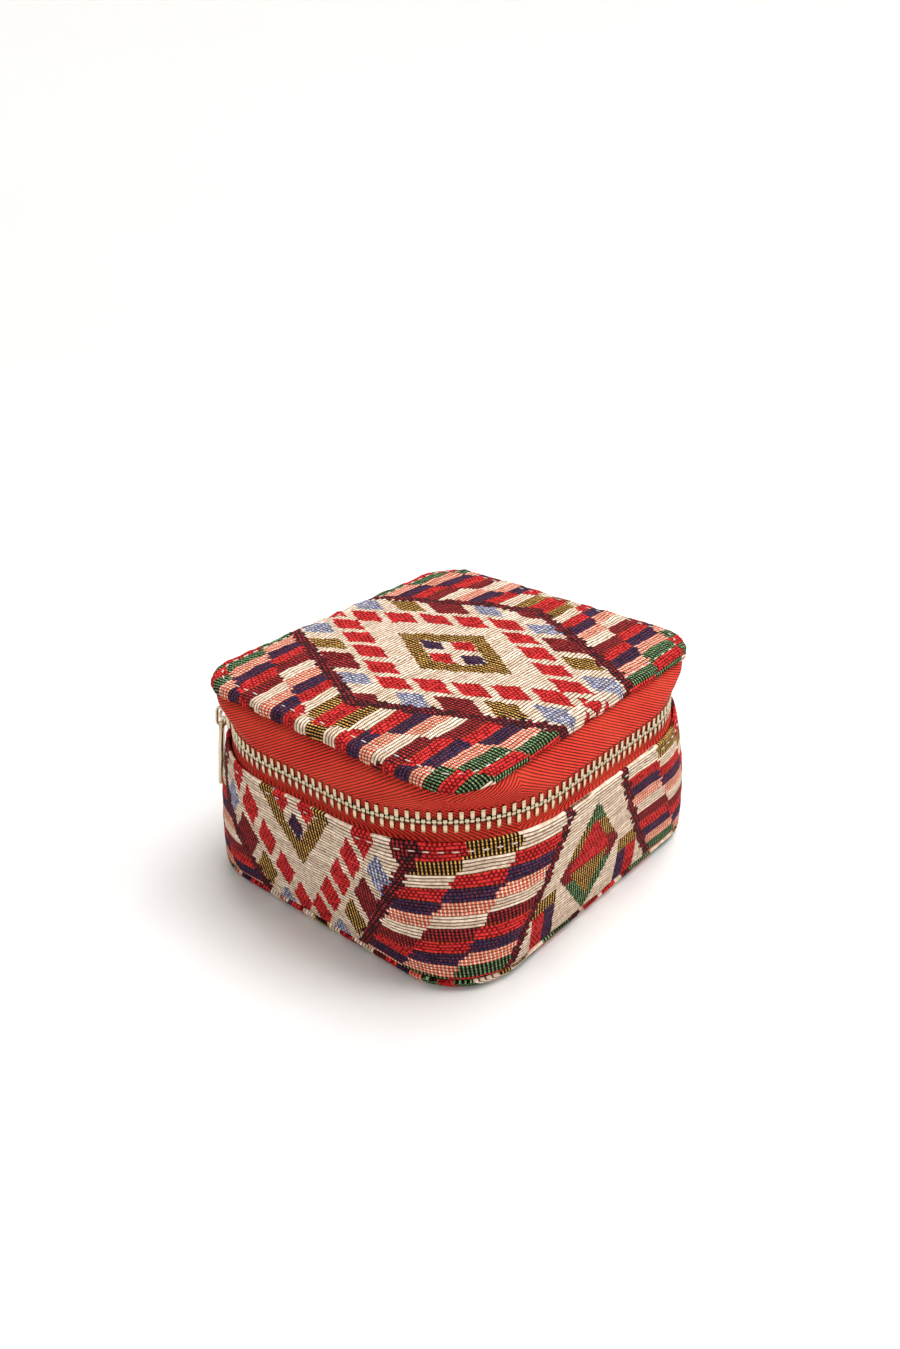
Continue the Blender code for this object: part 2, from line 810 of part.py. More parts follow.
def lid_cover(look, collection):
    """Woven lid panel: crowned top, rounded edge and a lip turned under the board."""
    turns = whole_turn(lid_turns)
    rounding = lid_edge_round * (1 - math.sqrt(0.5))
    rings = [
        ring(*lid_plan(lid_lip_width), lid_edge_height, turns),
        ring(*lid_plan(lid_edge_round / 2), lid_edge_height, turns),
        ring(*lid_plan(0), lid_edge_height + lid_edge_round / 2, turns),
        ring(*lid_plan(0), lid_side_top - lid_edge_round, turns),
        ring(*lid_plan(rounding), lid_side_top - rounding, turns),
        ring(*lid_plan(lid_edge_round), lid_side_top, turns),
    ]
    for share in lid_crown_shares:
        plan = [size * share for size in lid_plan(lid_edge_round)]
        rings.append(ring(*plan, lid_side_top + lid_crown * (1 - share ** 2), turns))
    mesh = loft(rings, cap_last=True)
    return thicken(add_object("lid_cover", mesh, look, collection), lid_cover_thickness)


def lid_foam(look, collection):
    """Thin foam under the woven top, which gives the lid its crown."""
    turns = whole_turn(body_turns)
    bottom = lid_board_top + gap
    drop = lid_cover_thickness + gap
    foot = [size * lid_foam_shares[0] for size in lid_plan(lid_edge_round)]
    rings = [ring(*foot, bottom, turns)]
    for share in lid_foam_shares:
        plan = [size * share for size in lid_plan(lid_edge_round)]
        height = lid_side_top + lid_crown * (1 - share ** 2) - drop - gap / 2
        rings.append(ring(*plan, height, turns))
    return add_object("lid_foam", loft(rings, cap_first=True, cap_last=True), look, collection)


def lid_board(look, collection):
    """Stiff board of the lid, held by the turned lip."""
    turns = whole_turn(lid_turns)
    plan = lid_plan(lid_cover_thickness + gap)
    return flat_panel("lid_board", plan, lid_board_bottom, lid_board_thickness, turns, look, collection)


def lid_inner_board(look, collection):
    """Card inside the lip that backs the lining."""
    turns = whole_turn(body_turns)
    plan = lid_plan(lid_lip_width + 2 * gap)
    name = "lid_inner_board"
    return flat_panel(name, plan, lid_edge_height, inner_board_thickness, turns, look, collection)


def lid_lining(look, collection):
    """Velvet panel that closes the underside of the lid."""
    turns = whole_turn(body_turns)
    plan = lid_plan(lid_lining_inset)
    name = "lid_lining"
    return flat_panel(name, plan, lid_lining_bottom, lining_thickness, turns, look, collection)


def lid_binding(look, collection):
    """Binding over the seam between the lid's lining and the upper tape."""
    inset = lid_tape_inset + tape_thickness + lid_binding_clear
    top = lid_lining_bottom - gap
    turns = whole_turn(lid_turns)
    name = "lid_binding"
    plan = lid_plan(inset)
    return rim_strip(name, plan, top - lid_binding_height, top, lid_binding_width, turns, look, collection)


def lid_mirror(look, collection):
    """Small mirror on the lining."""
    plan = (mirror_half_x, mirror_half_y, mirror_radius)
    bottom = lid_lining_bottom - gap - mirror_thickness
    turns = whole_turn(lid_turns)
    return flat_panel("lid_mirror", plan, bottom, mirror_thickness, turns, look, collection)


def hinge_panel(look, collection):
    """Woven strip at the back that joins the base's rim to the lid's edge."""
    middle_height = (rim_height + lid_edge_height) / 2
    levels = [
        (0, rim_height + hinge_foot_rise, 0),
        (hinge_middle_share, middle_height, hinge_bulge),
        (1, lid_edge_height - gap, 0),
    ]
    lid_back = lid_half_y - lid_tape_inset
    rows = []
    for share, height, bulge in levels:
        row = []
        for column in range(hinge_columns + 1):
            x = hinge_half_width * (1 - 2 * column / hinge_columns)
            corner = max(0.0, abs(x) - (rim_half_x - rim_radius))
            rim_back = rim_half_y - rim_radius + math.sqrt(rim_radius ** 2 - corner ** 2)
            y = rim_back * (1 - share) + lid_back * share
            row.append(Vector((x, y + bulge, height)))
        rows.append(row)
    obj = add_object("hinge_panel", loft(rows, closed=False), look, collection)
    return thicken(obj, hinge_thickness)


def carry_lid(collection):
    """Hang every piece that the lid carries on the axis of the hinge."""
    place = (0, rim_half_y, hinge_axis_height)
    axis = axis_empty("lid_hinge_axis", place, collection)
    for obj in list(collection.objects):
        if obj.name.startswith("lid_") or obj.name in ("upper_zip_tape", "upper_teeth"):
            if obj is not axis:
                obj.parent = axis
                obj.matrix_parent_inverse = Matrix.Translation(place).inverted()


def divider_outline(half_bottom, half_top):
    """Outline of a divider that follows the leaning walls, from its foot up."""
    return [
        (-half_bottom, 0),
        (half_bottom, 0),
        (half_top, divider_height),
        (-half_top, divider_height),
    ]


def tray_half(height, sideways):
    """Inner half sizes of the tray at a height."""
    half_x, half_y, _ = wall_plan(height, lining_inset + lining_thickness)
    return half_x if sideways else half_y


def long_divider(look, collection):
    """Upright board that parts the ring rolls from the compartments."""
    foot = lining_floor + gap
    half_bottom = tray_half(foot, False) - foot_round
    half_top = tray_half(foot + divider_height, False) - divider_side_clear
    half_middle = tray_half(foot + foot_round, False) - divider_side_clear
    outline = divider_outline(half_bottom, half_top)
    outline.insert(2, (half_middle, foot_round))
    outline.append((-half_middle, foot_round))
    mesh = outline_solid("long_divider", outline, divider_thickness)
    turn = Matrix.Rotation(math.pi / 2, 4, "Z") @ Matrix.Rotation(math.pi / 2, 4, "X")
    mesh.transform(Matrix.Translation((divider_x, 0, foot)) @ turn)
    return add_object("long_divider", mesh, look, collection)


def cross_divider(look, collection):
    """Upright board that parts the two compartments."""
    foot = lining_floor + gap
    inner = divider_x + divider_thickness / 2 + gap
    outer_bottom = tray_half(foot, True) - foot_round
    outer_middle = tray_half(foot + foot_round, True) - divider_side_clear
    outer_top = tray_half(foot + divider_height, True) - divider_side_clear
    outline = [
        (inner, 0),
        (outer_bottom, 0),
        (outer_middle, foot_round),
        (outer_top, divider_height),
        (inner, divider_height),
    ]
    mesh = outline_solid("cross_divider", outline, divider_thickness)
    mesh.transform(Matrix.Translation((0, 0, foot)) @ Matrix.Rotation(math.pi / 2, 4, "X"))
    return add_object("cross_divider", mesh, look, collection)


def ring_rolls(look, collection):
    """Soft rolls, side by side, that grip rings between them."""
    foot = lining_floor + gap
    half_x, half_y, radius = wall_plan(foot, lining_inset + lining_thickness + roll_side_clear)
    right = divider_x - divider_thickness / 2 - gap
    roll_diameter = (right + half_x - roll_wall_clear) / roll_count - gap
    for index in range(roll_count):
        centre = right - roll_diameter / 2 - index * (roll_diameter + gap)
        outer = abs(centre - roll_diameter / 2)
        past = max(0.0, outer - (half_x - radius))
        half_length = half_y - radius + math.sqrt(max(0.0, radius ** 2 - past ** 2))
        builder = bmesh.new()
        place = Matrix.Translation((centre, 0, foot + roll_diameter / 2))
        bmesh.ops.create_cone(
            builder,
            cap_ends=True,
            segments=roll_sides,
            radius1=roll_diameter / 2,
            radius2=roll_diameter / 2,
            depth=2 * half_length,
            matrix=place @ Matrix.Rotation(math.pi / 2, 4, "X"),
        )
        mesh = bpy.data.meshes.new("ring_roll")
        builder.to_mesh(mesh)
        builder.free()
        roll = add_object(f"ring_roll_{index + 1}", mesh, look, collection)
        bevel = roll.modifiers.new("round_ends", "BEVEL")
        bevel.width = roll_end_round
        bevel.segments = roll_end_steps
        bevel.limit_method = "ANGLE"
        bevel.angle_limit = math.radians(roll_edge_angle)


def main():
    """Build the case."""
    clear_scene()
    case = new_collection("jewelry_case")
    cutters = new_collection("cutters")
    kilim = ((0.50, 0.06, 0.05), 0.85, 0.0)
    red_tape = ((0.55, 0.03, 0.02), 0.8, 0.0)
    metal = ((0.78, 0.68, 0.50), 0.3, 1.0)
    velvet = ((0.36, 0.03, 0.04), 0.9, 0.0)
    card = ((0.45, 0.36, 0.25), 0.9, 0.0)
    foam = ((0.85, 0.83, 0.78), 0.95, 0.0)
    glass = ((0.85, 0.87, 0.88), 0.05, 1.0)
    base_wall_cover(kilim, case)
    base_bottom_cover(kilim, case)
    base_wall_padding(foam, case)
    base_wall_board(card, case)
    base_floor_board(card, case)
    base_lining(velvet, case)
    base_binding(red_tape, case)
    long_divider(velvet, case)
    cross_divider(velvet, case)
    ring_rolls(velvet, case)
    lower_zip_tape(red_tape, case)
    upper_zip_tape(red_tape, case)
    zip_end_patches(red_tape, case)
    tooth_rows(metal, case)
    zip_bottom_stop(metal, case)
    slider_group(metal, case, cutters)
    lid_cover(kilim, case)
    lid_foam(foam, case)
    lid_board(card, case)
    lid_inner_board(card, case)
    lid_lining(velvet, case)
    lid_binding(red_tape, case)
    lid_mirror(glass, case)
    hinge_panel(kilim, case)
    carry_lid(case)


main()
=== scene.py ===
"""Zip-around jewelry case in woven kilim cloth: the dressed model, its stage and its camera."""

import math
from functools import partialmethod

import bmesh
import bpy
from bpy.props import FloatProperty, FloatVectorProperty, PointerProperty
from mathutils import Matrix, Vector


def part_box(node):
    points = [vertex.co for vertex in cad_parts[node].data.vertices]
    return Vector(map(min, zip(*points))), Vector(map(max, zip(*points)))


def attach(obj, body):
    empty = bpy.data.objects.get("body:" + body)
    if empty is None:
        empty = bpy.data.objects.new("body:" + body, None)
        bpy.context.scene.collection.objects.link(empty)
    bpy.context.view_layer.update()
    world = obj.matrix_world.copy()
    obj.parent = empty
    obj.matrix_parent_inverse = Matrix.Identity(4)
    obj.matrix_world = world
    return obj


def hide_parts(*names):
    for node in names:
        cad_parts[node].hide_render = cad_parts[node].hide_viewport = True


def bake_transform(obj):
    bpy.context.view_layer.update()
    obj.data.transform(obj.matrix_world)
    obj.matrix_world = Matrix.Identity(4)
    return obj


bl_info = {
    "name": "Kilim jewelry case",
    "version": (1, 0, 0),
    "blender": (4, 5, 0),
    "location": "View3D > Sidebar > Jewelry case",
    "description": "Sews, zips and lines a small kilim jewelry case",
    "category": "Object",
}

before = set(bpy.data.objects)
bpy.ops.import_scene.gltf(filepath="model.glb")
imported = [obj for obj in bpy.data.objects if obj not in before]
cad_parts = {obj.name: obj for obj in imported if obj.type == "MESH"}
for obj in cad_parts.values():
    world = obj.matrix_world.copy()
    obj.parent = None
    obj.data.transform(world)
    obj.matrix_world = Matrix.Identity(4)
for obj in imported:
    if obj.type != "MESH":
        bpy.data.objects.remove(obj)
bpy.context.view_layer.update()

MM = 1000  # in a metre
CORNER_STEPS = 20  # edges round one corner of an outline
SIDE_STEPS = 10  # cuts in each of its straight sides
LEAST_CORNER = 0.004  # smallest corner radius of an inset lid plan
GIRTH = 0.364  # length round the case
HALF_CHAIN = 0.0027  # from the middle of the zip's chain to the foot of a tooth
TAPE_END = 64.0  # degrees round the back corners at which the tapes end
TEETH_END = 52.8  # and at which the teeth end

# The kilim's pattern, in millimetres
HALF_REPEAT = 87  # from the middle of the wide zigzag band to that of the narrow one
FIRST_ROW = 3.0  # the rows are counted from this far beside the pattern's middle line
ROW = 0.9875
STEP, FINE_STEP = 0.84, 0.42  # steps along a row, of the bricks and of the figures
BRICK_WIDE, BRICK_HIGH = 12.8, 3.95
SLOPE = 0.47  # of the zigzags

# Whole numbers for its yarns
CREAM, RED, NAVY, GOLD, PINK, MAROON, GREEN, SKY, UMBER, AMBER = range(10)
YARNS = 10
MOST = 16  # whole numbers that a ramp can hold


# Sizes and colours that a user would change

def length(name, default):
    """A size in metres."""
    return FloatProperty(name=name, default=default, unit="LENGTH", precision=4)


def colour(name, default):
    """A colour, as light reflects it."""
    return FloatVectorProperty(
        name=name, default=default, subtype="COLOR", size=3, min=0, max=1
    )


class CASE_PG_sizes(bpy.types.PropertyGroup):
    """Sizes of the case's parts."""

    rim_half_x: length("Half the width of the base at its rim", 0.0560)
    rim_half_y: length("Half the depth of the base at its rim", 0.0515)
    rim_radius: length("Corner radius of the base at its rim", 0.0385)
    rim_height: length("Height of the folded top edge of the wall", 0.0395)
    foot_radius: length("Corner radius of the base at its foot", 0.0175)
    wall_flare: length("How far the rim stands out past the foot", 0.0033)
    seam_height: length("Height of the seam between wall and bottom", 0.0034)
    foot_round: length("Radius of the bottom edge", 0.0030)
    cloth: length("Thickness of the kilim cloth", 0.0010)
    zip_half_x: length("Half the width of the zip's path", 0.0535)
    zip_half_y: length("Half the depth of the zip's path", 0.0490)
    zip_radius: length("Corner radius of the zip's path", 0.0357)
    zip_height: length("Height of the middle of the chain", 0.0439)
    tooth_pitch: length("Distance from one tooth to the next of its row", 0.0024)
    tape: length("Thickness of the woven zip tape", 0.0006)
    lid_half_x: length("Half the width of the lid", 0.0500)
    lid_half_y: length("Half the depth of the lid", 0.0455)
    lid_radius: length("Corner radius of the lid", 0.0124)
    lid_edge: length("Height of the lid's lower edge", 0.0536)
    lid_top: length("Height of the lid's upper edge", 0.0566)
    lid_crown: length("How far the middle of the lid stands above its edge", 0.0012)
    stitch: length("Length of one running stitch", 0.0018)
    stitch_gap: length("Space between running stitches", 0.0016)


class CASE_PG_colours(bpy.types.PropertyGroup):
    """Colours of the yarns and other finishes."""

    cream: colour("Yarn of the ground", (0.85, 0.65, 0.49))
    red: colour("Main red yarn", (0.80, 0.036, 0.034))
    navy: colour("Dark blue yarn", (0.022, 0.038, 0.13))
    gold: colour("Gold yarn, woven with black", (1.0, 0.53, 0.11))
    pink: colour("Salmon yarn", (1.0, 0.80, 0.60))
    maroon: colour("Maroon yarn", (0.66, 0.036, 0.040))
    green: colour("Green yarn, woven with black", (0.26, 0.50, 0.20))
    sky: colour("Light blue yarn", (0.86, 0.80, 0.76))
    umber: colour("Dark brown yarn of the zigzags", (0.020, 0.010, 0.012))
    tape: colour("Red of the zip tape", (0.74, 0.036, 0.019))
    metal: colour("Pale gold of the zip", (0.62, 0.50, 0.33))
    velvet: colour("Dark red of the lining", (0.22, 0.012, 0.018))
    floor: colour("Pale floor", (0.86, 0.85, 0.84))


def sizes():
    """The sizes as the scene holds them."""
    return bpy.context.scene.case_sizes


def colours():
    """The colours as the scene holds them."""
    return bpy.context.scene.case_colours


# Arithmetic of a material's nodes

class Number:
    """One number that a material works out, so that a pattern reads as plain arithmetic."""

    def __init__(self, tree, socket):
        self.tree = tree
        self.socket = socket

    def work(self, operation, *others):
        node = self.tree.nodes.new("ShaderNodeMath")
        node.operation = operation
        for socket, other in zip(node.inputs, (self, *others)):
            if isinstance(other, Number):
                self.tree.links.new(other.socket, socket)
            else:
                socket.default_value = other
        return Number(self.tree, node.outputs[0])

    __add__ = partialmethod(work, "ADD")
    __sub__ = partialmethod(work, "SUBTRACT")
    __mul__ = partialmethod(work, "MULTIPLY")
    __truediv__ = partialmethod(work, "DIVIDE")
    floor = partialmethod(work, "FLOOR")
    part = partialmethod(work, "FRACT")
    size = partialmethod(work, "ABSOLUTE")
    least = partialmethod(work, "MINIMUM")
    most = partialmethod(work, "MAXIMUM")
    below = partialmethod(work, "LESS_THAN")
    above = partialmethod(work, "GREATER_THAN")
    fold = partialmethod(work, "PINGPONG")

    def between(self, low, high):
        return self.above(low) * self.below(high)

    def soft(self, low, high):
        node = self.tree.nodes.new("ShaderNodeMapRange")
        node.interpolation_type = "SMOOTHSTEP"
        self.tree.links.new(self.socket, node.inputs["Value"])
        node.inputs["From Min"].default_value = low
        node.inputs["From Max"].default_value = high
        return Number(self.tree, node.outputs["Result"])


def choose(test, yes, no):
    """yes where test is 1, and no where it is 0."""
    return (test * -1 + 1) * no + test * yes


def ramp(number, stops):
    """Stepped colour ramp read by a number from 0 to 1."""
    tree = number.tree
    node = tree.nodes.new("ShaderNodeValToRGB")
    band = node.color_ramp
    band.interpolation = "CONSTANT"
    while len(band.elements) < len(stops):
        band.elements.new(1.0)
    for element, (place, value) in zip(band.elements, stops):
        element.position = place
        element.color = value if len(value) == 4 else (*value, 1.0)
    tree.links.new(number.socket, node.inputs["Fac"])
    return node


def stepped(number, low, high, stops):
    """Whole numbers by the ranges that a number falls in, from (start, whole number) pairs."""
    spread = [((start - low) / (high - low), (whole / MOST,) * 3) for start, whole in stops]
    node = ramp((number - low) / (high - low), spread)
    return Number(number.tree, node.outputs["Color"]) * MOST


def noise(tree, vector, scale, detail=2.0):
    """Soft noise from 0 to 1 over a vector in metres."""
    node = tree.nodes.new("ShaderNodeTexNoise")
    node.inputs["Scale"].default_value = scale
    node.inputs["Detail"].default_value = detail
    tree.links.new(vector, node.inputs["Vector"])
    return Number(tree, node.outputs["Fac"])


def dice(number):
    """Chance from 0 to 1, the same wherever the number is the same."""
    node = number.tree.nodes.new("ShaderNodeTexWhiteNoise")
    node.noise_dimensions = "1D"
    number.tree.links.new(number.socket, node.inputs["W"])
    return Number(number.tree, node.outputs["Value"])


def mix(tree, factor, first, second, blend="MIX"):
    """Mix of two colours, each a socket or a plain colour."""
    node = tree.nodes.new("ShaderNodeMix")
    node.data_type = "RGBA"
    node.blend_type = blend
    for index, value in ((0, factor), (6, first), (7, second)):
        socket = node.inputs[index]
        if isinstance(value, Number):
            tree.links.new(value.socket, socket)
        elif isinstance(value, bpy.types.NodeSocket):
            tree.links.new(value, socket)
        else:
            socket.default_value = value if isinstance(value, float) else (*value, 1.0)
    return node.outputs[2]


def new_material(name, roughness, metallic=0.0, sheen=0.0, specular=0.5):
    """New material and its nodes; what stays constant in its shader is set here."""
    made = bpy.data.materials.new(name)
    made.use_nodes = True
    shader = made.node_tree.nodes["Principled BSDF"]
    shader.inputs["Roughness"].default_value = roughness
    shader.inputs["Metallic"].default_value = metallic
    shader.inputs["Sheen Weight"].default_value = sheen
    shader.inputs["Specular IOR Level"].default_value = specular
    return made, made.node_tree


def surface(made, base, height, distance):
    """Give a material its colour, and a bump from a height between 0 and 1."""
    tree = made.node_tree
    shader = tree.nodes["Principled BSDF"]
    tree.links.new(base, shader.inputs["Base Color"])
    bump = tree.nodes.new("ShaderNodeBump")
    bump.inputs["Distance"].default_value = distance
    tree.links.new(height.socket, bump.inputs["Height"])
    tree.links.new(bump.outputs["Normal"], shader.inputs["Normal"])
    return made


def shades(tint, *shares):
    """A colour made darker or lighter by each share."""
    return [tuple(Vector(tint) * share) for share in shares]


def cloth_vector(tree):
    """The piece's own cloth lengths in metres."""
    node = tree.nodes.new("ShaderNodeUVMap")
    node.uv_map = "cloth"
    return node.outputs["UV"]


def split_vector(tree, vector):
    """The first two numbers of a vector."""
    node = tree.nodes.new("ShaderNodeSeparateXYZ")
    tree.links.new(vector, node.inputs[0])
    return Number(tree, node.outputs[0]), Number(tree, node.outputs[1])


def medallion(along, across):
    """Yarn inside the wide zigzag band: nested diamonds round a small chequer."""
    ring = along + across * 0.534
    turn = across * 0.534 - along
    beat = ((turn + 22.5 + 4.7) / 9.4).part() * 9.4 - 4.7
    lozenge = (ring - 22.4).size().below(3.7) * beat.size().below(3.5)
    patches = stepped(turn, -40, 24, [
        (-40, CREAM), (-37, MAROON), (-29.5, CREAM), (-24.3, SKY), (-17.8, CREAM), (-15, MAROON),
        (-6.2, CREAM), (-3.4, GOLD), (4, CREAM), (8, SKY), (15.5, CREAM), (20, RED),
    ])
    outer = (ring - 32).size().below(4)
    core = along + across * 0.62
    slant = across * 0.62 - along
    frame_ring = core.between(7.6, 12.4)
    checks = core.between(1.5, 7.3) * slant.size().between(1.5, 7.3)
    check_yarn = choose(slant.above(0), NAVY, RED)
    yarn = lozenge * RED
    yarn = choose(outer, patches, yarn)
    yarn = choose(frame_ring, GOLD, yarn)
    return choose(checks, check_yarn, yarn)


def kite(along, across):
    """Yarn inside the narrow zigzag band: a framed kite with small patches at its foot."""
    middle = across + 20.7
    reach = along / 13 + middle.size() / 18.5
    border = stepped(middle, -20, 20, [(-20, GREEN), (-4, MAROON), (4, GOLD), (12, GREEN)])
    inside = choose(middle.above(-1.5), RED, GOLD)
    foot = (along - 18).size().below(4.5) * across.below(-23)
    foot_yarn = choose(across.above(-28), GOLD, choose(along.below(17.5), NAVY, RED))
    yarn = foot * foot_yarn
    yarn = choose(reach.below(1.0), border, yarn)
    return choose(reach.below(0.70), inside, yarn)


def kilim_group():
    """Woven kilim: zigzag bands with their medallions, and stepped bricks between them."""
    tree = bpy.data.node_groups.new("kilim_weave", "ShaderNodeTree")
    tree.interface.new_socket("Cloth", in_out="INPUT", socket_type="NodeSocketVector")
    tree.interface.new_socket("Color", in_out="OUTPUT", socket_type="NodeSocketColor")
    tree.interface.new_socket("Height", in_out="OUTPUT", socket_type="NodeSocketFloat")
    begin = tree.nodes.new("NodeGroupInput")
    end = tree.nodes.new("NodeGroupOutput")
    cloth = begin.outputs["Cloth"]

    # Place in the pattern, in rows and steps
    u, v = split_vector(tree, cloth)
    drift = noise(tree, cloth, 45.0)
    tilt = noise(tree, cloth, 28.0)
    u = u * MM + (tilt - 0.5) * 2.4
    v = v * MM + (drift - 0.5) * 2.4
    side = v.work("SIGN")
    pick = (v.size() - FIRST_ROW) / ROW
    row = pick.floor()
    chance = dice(row * side + side * 0.37)
    across = (row + 0.5) * ROW + FIRST_ROW
    along = (((u + (chance - 0.5)) / STEP).floor() + 0.5) * STEP
    along = along.fold(HALF_REPEAT)
    other = along * -1 + HALF_REPEAT
    wide = across * -SLOPE + 35.7
    narrow = across * SLOPE + 11

    # Yarns: stepped bricks, then the two bands and the zigzags that frame them
    column = ((along - wide) / BRICK_WIDE).floor().most(0).least(2)
    beat = (across - FIRST_ROW) / BRICK_HIGH
    brick = (beat.floor() + 1 + column).least(MOST - 1)
    yarn = stepped(brick, 0, MOST, [
        (0, RED), (1, GOLD), (2, CREAM), (3, RED),
        (4, NAVY), (5, PINK), (6, CREAM), (7, MAROON),
        (8, RED), (9, NAVY), (10, PINK), (11, GREEN),
        (12, RED), (13, GREEN), (14, CREAM), (15, GOLD),
    ])
    hem = ((v.size() - FIRST_ROW) / BRICK_HIGH).part()
    hem = hem.below(0.055).most(hem.above(0.955)) * (yarn - RED).size().below(0.5)
    yarn = choose(hem, AMBER, yarn)
    figure = (((u + (chance - 0.5) * 0.3) / FINE_STEP).floor() + 0.5) * FINE_STEP
    figure = figure.fold(HALF_REPEAT)
    yarn = choose(along.below(wide), medallion(figure, across), yarn)
    yarn = choose(other.below(narrow), kite(figure * -1 + HALF_REPEAT, across * side), yarn)
    zigzag = (along - wide).size().below(1.75).most((other - narrow).size().below(1.5))
    yarn = choose(zigzag, UMBER, yarn)
    shade = (yarn + 0.5) / YARNS

    # Each yarn's colour, the colour between its stripes and that of its dots, in their order,
    # with the stripes' and the dots' shares as a fourth number
    tint = colours()
    black = (0.012, 0.008, 0.008)
    face = [
        (*tint.cream, 0.0), (*tint.red, 0.15), (*tint.navy, 0.9), (*tint.gold, 1.0),
        (*tint.pink, 0.9), (*tint.maroon, 0.9), (*tint.green, 1.0), (*tint.sky, 0.8),
        (*tint.umber, 0.0), (0.80, 0.42, 0.04, 1.0),
    ]
    back = [
        (0.50, 0.36, 0.22, 0.0), (0.28, 0.004, 0.008, 0.95), (0.032, 0.010, 0.018, 0.55),
        (*black, 0.3), (0.82, 0.10, 0.04, 0.3), (*black, 0.4), (*black, 0.4),
        (0.06, 0.08, 0.24, 0.8), (0.01, 0.01, 0.01, 0.85), (0.40, 0.01, 0.01, 0.0),
    ]
    spot = [
        tint.cream, (0.16, 0.001, 0.004), (0.26, 0.03, 0.04), black, (0.60, 0.05, 0.03), black,
        (0.05, 0.01, 0.01), (0.06, 0.09, 0.30), (0.46, 0.022, 0.030), tint.gold,
    ]
    face_ramp, back_ramp, spot_ramp = (
        ramp(shade, [(index / YARNS, tuple(value)) for index, value in enumerate(values)])
        for values in (face, back, spot)
    )
    stripe_share = Number(tree, face_ramp.outputs["Alpha"])
    dot_share = Number(tree, back_ramp.outputs["Alpha"])

    # Weave: the stripes of the back yarn, the creases between rows and the dots that break them
    lean = ((u / 0.98 + v * 0.10).part() - 0.5).size()
    stripe = lean.soft(0.13, 0.22) * stripe_share
    swell = (pick.part() - 0.5).size()
    crease = swell.soft(0.27, 0.47)
    place = u / 1.15 + row * 0.5
    offset = (place.part() - 0.5).size()
    luck = dice(place.floor() * 0.37 + row * side * 1.61).soft(0.25, 0.50) * 0.75 + 0.25
    dot = offset.soft(0.30, 0.17) * swell.soft(0.46, 0.28) * luck * dot_share
    dash = offset.soft(0.48, 0.36)
    twist = ((u / 0.55 + pick * 1.3).part() - 0.5).size().soft(0.5, 0.1)
    patchy = noise(tree, cloth, 850.0, 2.0)
    yarn_tone = noise(tree, cloth, 190.0, 3.0)

    # Its colours, with painted shade in the creases between rows and along the twist of each yarn,
    # and its relief
    woven = mix(tree, stripe, face_ramp.outputs["Color"], back_ramp.outputs["Color"])
    dotted = mix(tree, dot, woven, spot_ramp.outputs["Color"])
    # Painted shade, darker in the creases between rows and along the twist of each yarn, times
    # random tone from the noises and the row's chance; the shade turns warmer as it darkens
    shade_and_tone = (crease * (dash * 0.64 + 0.30) * -1 + 1.0) * (twist * 0.30 + 0.80)
    shade_and_tone = shade_and_tone * (patchy * 1.5 + 0.28) * (yarn_tone * 0.7 + 0.68) * (chance * 0.30 + 0.87)
    warm = tree.nodes.new("ShaderNodeCombineColor")
    for channel, share in enumerate((0.82, 1.0, 1.18)):
        tree.links.new(shade_and_tone.work("POWER", share).socket, warm.inputs[channel])
    finished = mix(tree, 1.0, dotted, warm.outputs["Color"], "MULTIPLY")
    height = (crease * -0.9 + 0.9) + stripe * -0.35 - dot * 0.3
    height = height + patchy * 0.2 + twist * 0.25
    tree.links.new(finished, end.inputs["Color"])
    tree.links.new(height.socket, end.inputs["Height"])
    return tree


def kilim(name, place=(0.0, 0.0), scale=(1.0, 1.0)):
    """Kilim cloth, with the pattern's middle and scale set for one piece."""
    made, tree = new_material(name, 0.9, specular=0.12)
    mapping = tree.nodes.new("ShaderNodeMapping")
    mapping.inputs["Location"].default_value = (-place[0] * scale[0], -place[1] * scale[1], 0)
    mapping.inputs["Scale"].default_value = (*scale, 1)
    tree.links.new(cloth_vector(tree), mapping.inputs["Vector"])
    weave = tree.nodes.new("ShaderNodeGroup")
    weave.node_tree = bpy.data.node_groups.get("kilim_weave") or kilim_group()
    tree.links.new(mapping.outputs["Vector"], weave.inputs["Cloth"])
    height = Number(tree, weave.outputs["Height"])
    return surface(made, weave.outputs["Color"], height, 0.00045)


def herringbone(name):
    """Red zip tape: leaning ribs that turn about along one line and beside the near corner."""
    made, tree = new_material(name, 0.75, specular=0.2)
    cloth = cloth_vector(tree)
    u, v = (number * MM for number in split_vector(tree, cloth))
    reach = (u - 14.0).size()
    folded = (v - 3.4).size()
    rib = (((reach + folded * 1.73) / 1.42).part() - 0.5).size().soft(0.46, 0.14)
    bead = ((reach / 0.55 + v * 0.35).part() - 0.5).size().soft(0.5, 0.15)
    patchy = noise(tree, cloth, 1300.0, 1.0)
    broad = noise(tree, cloth, 70.0, 2.0)
    height = rib * 0.52 + bead * rib * 0.46 + patchy * 0.25
    # Painted shade: the tape darkens in the grooves between its ribs and towards the middle of the
    # chain, between the teeth; the patchy noise adds random tone
    chain_shade = (v.size().soft(0.8, 3.0) * 0.40 + 0.60) * (v.size().soft(0.7, 1.6) * 0.75 + 0.25)
    shaded_tape = mix(tree, height.soft(0.12, 0.90) * chain_shade, *shades(colours().tape, 0.10, 1.22))
    warm = mix(tree, broad.soft(0.35, 0.7) * 0.25, shaded_tape, (0.85, 0.10, 0.04))
    return surface(made, warm, height, 0.00030)


def object_vector(tree):
    """Place on the object, in metres."""
    return tree.nodes.new("ShaderNodeTexCoord").outputs["Object"]


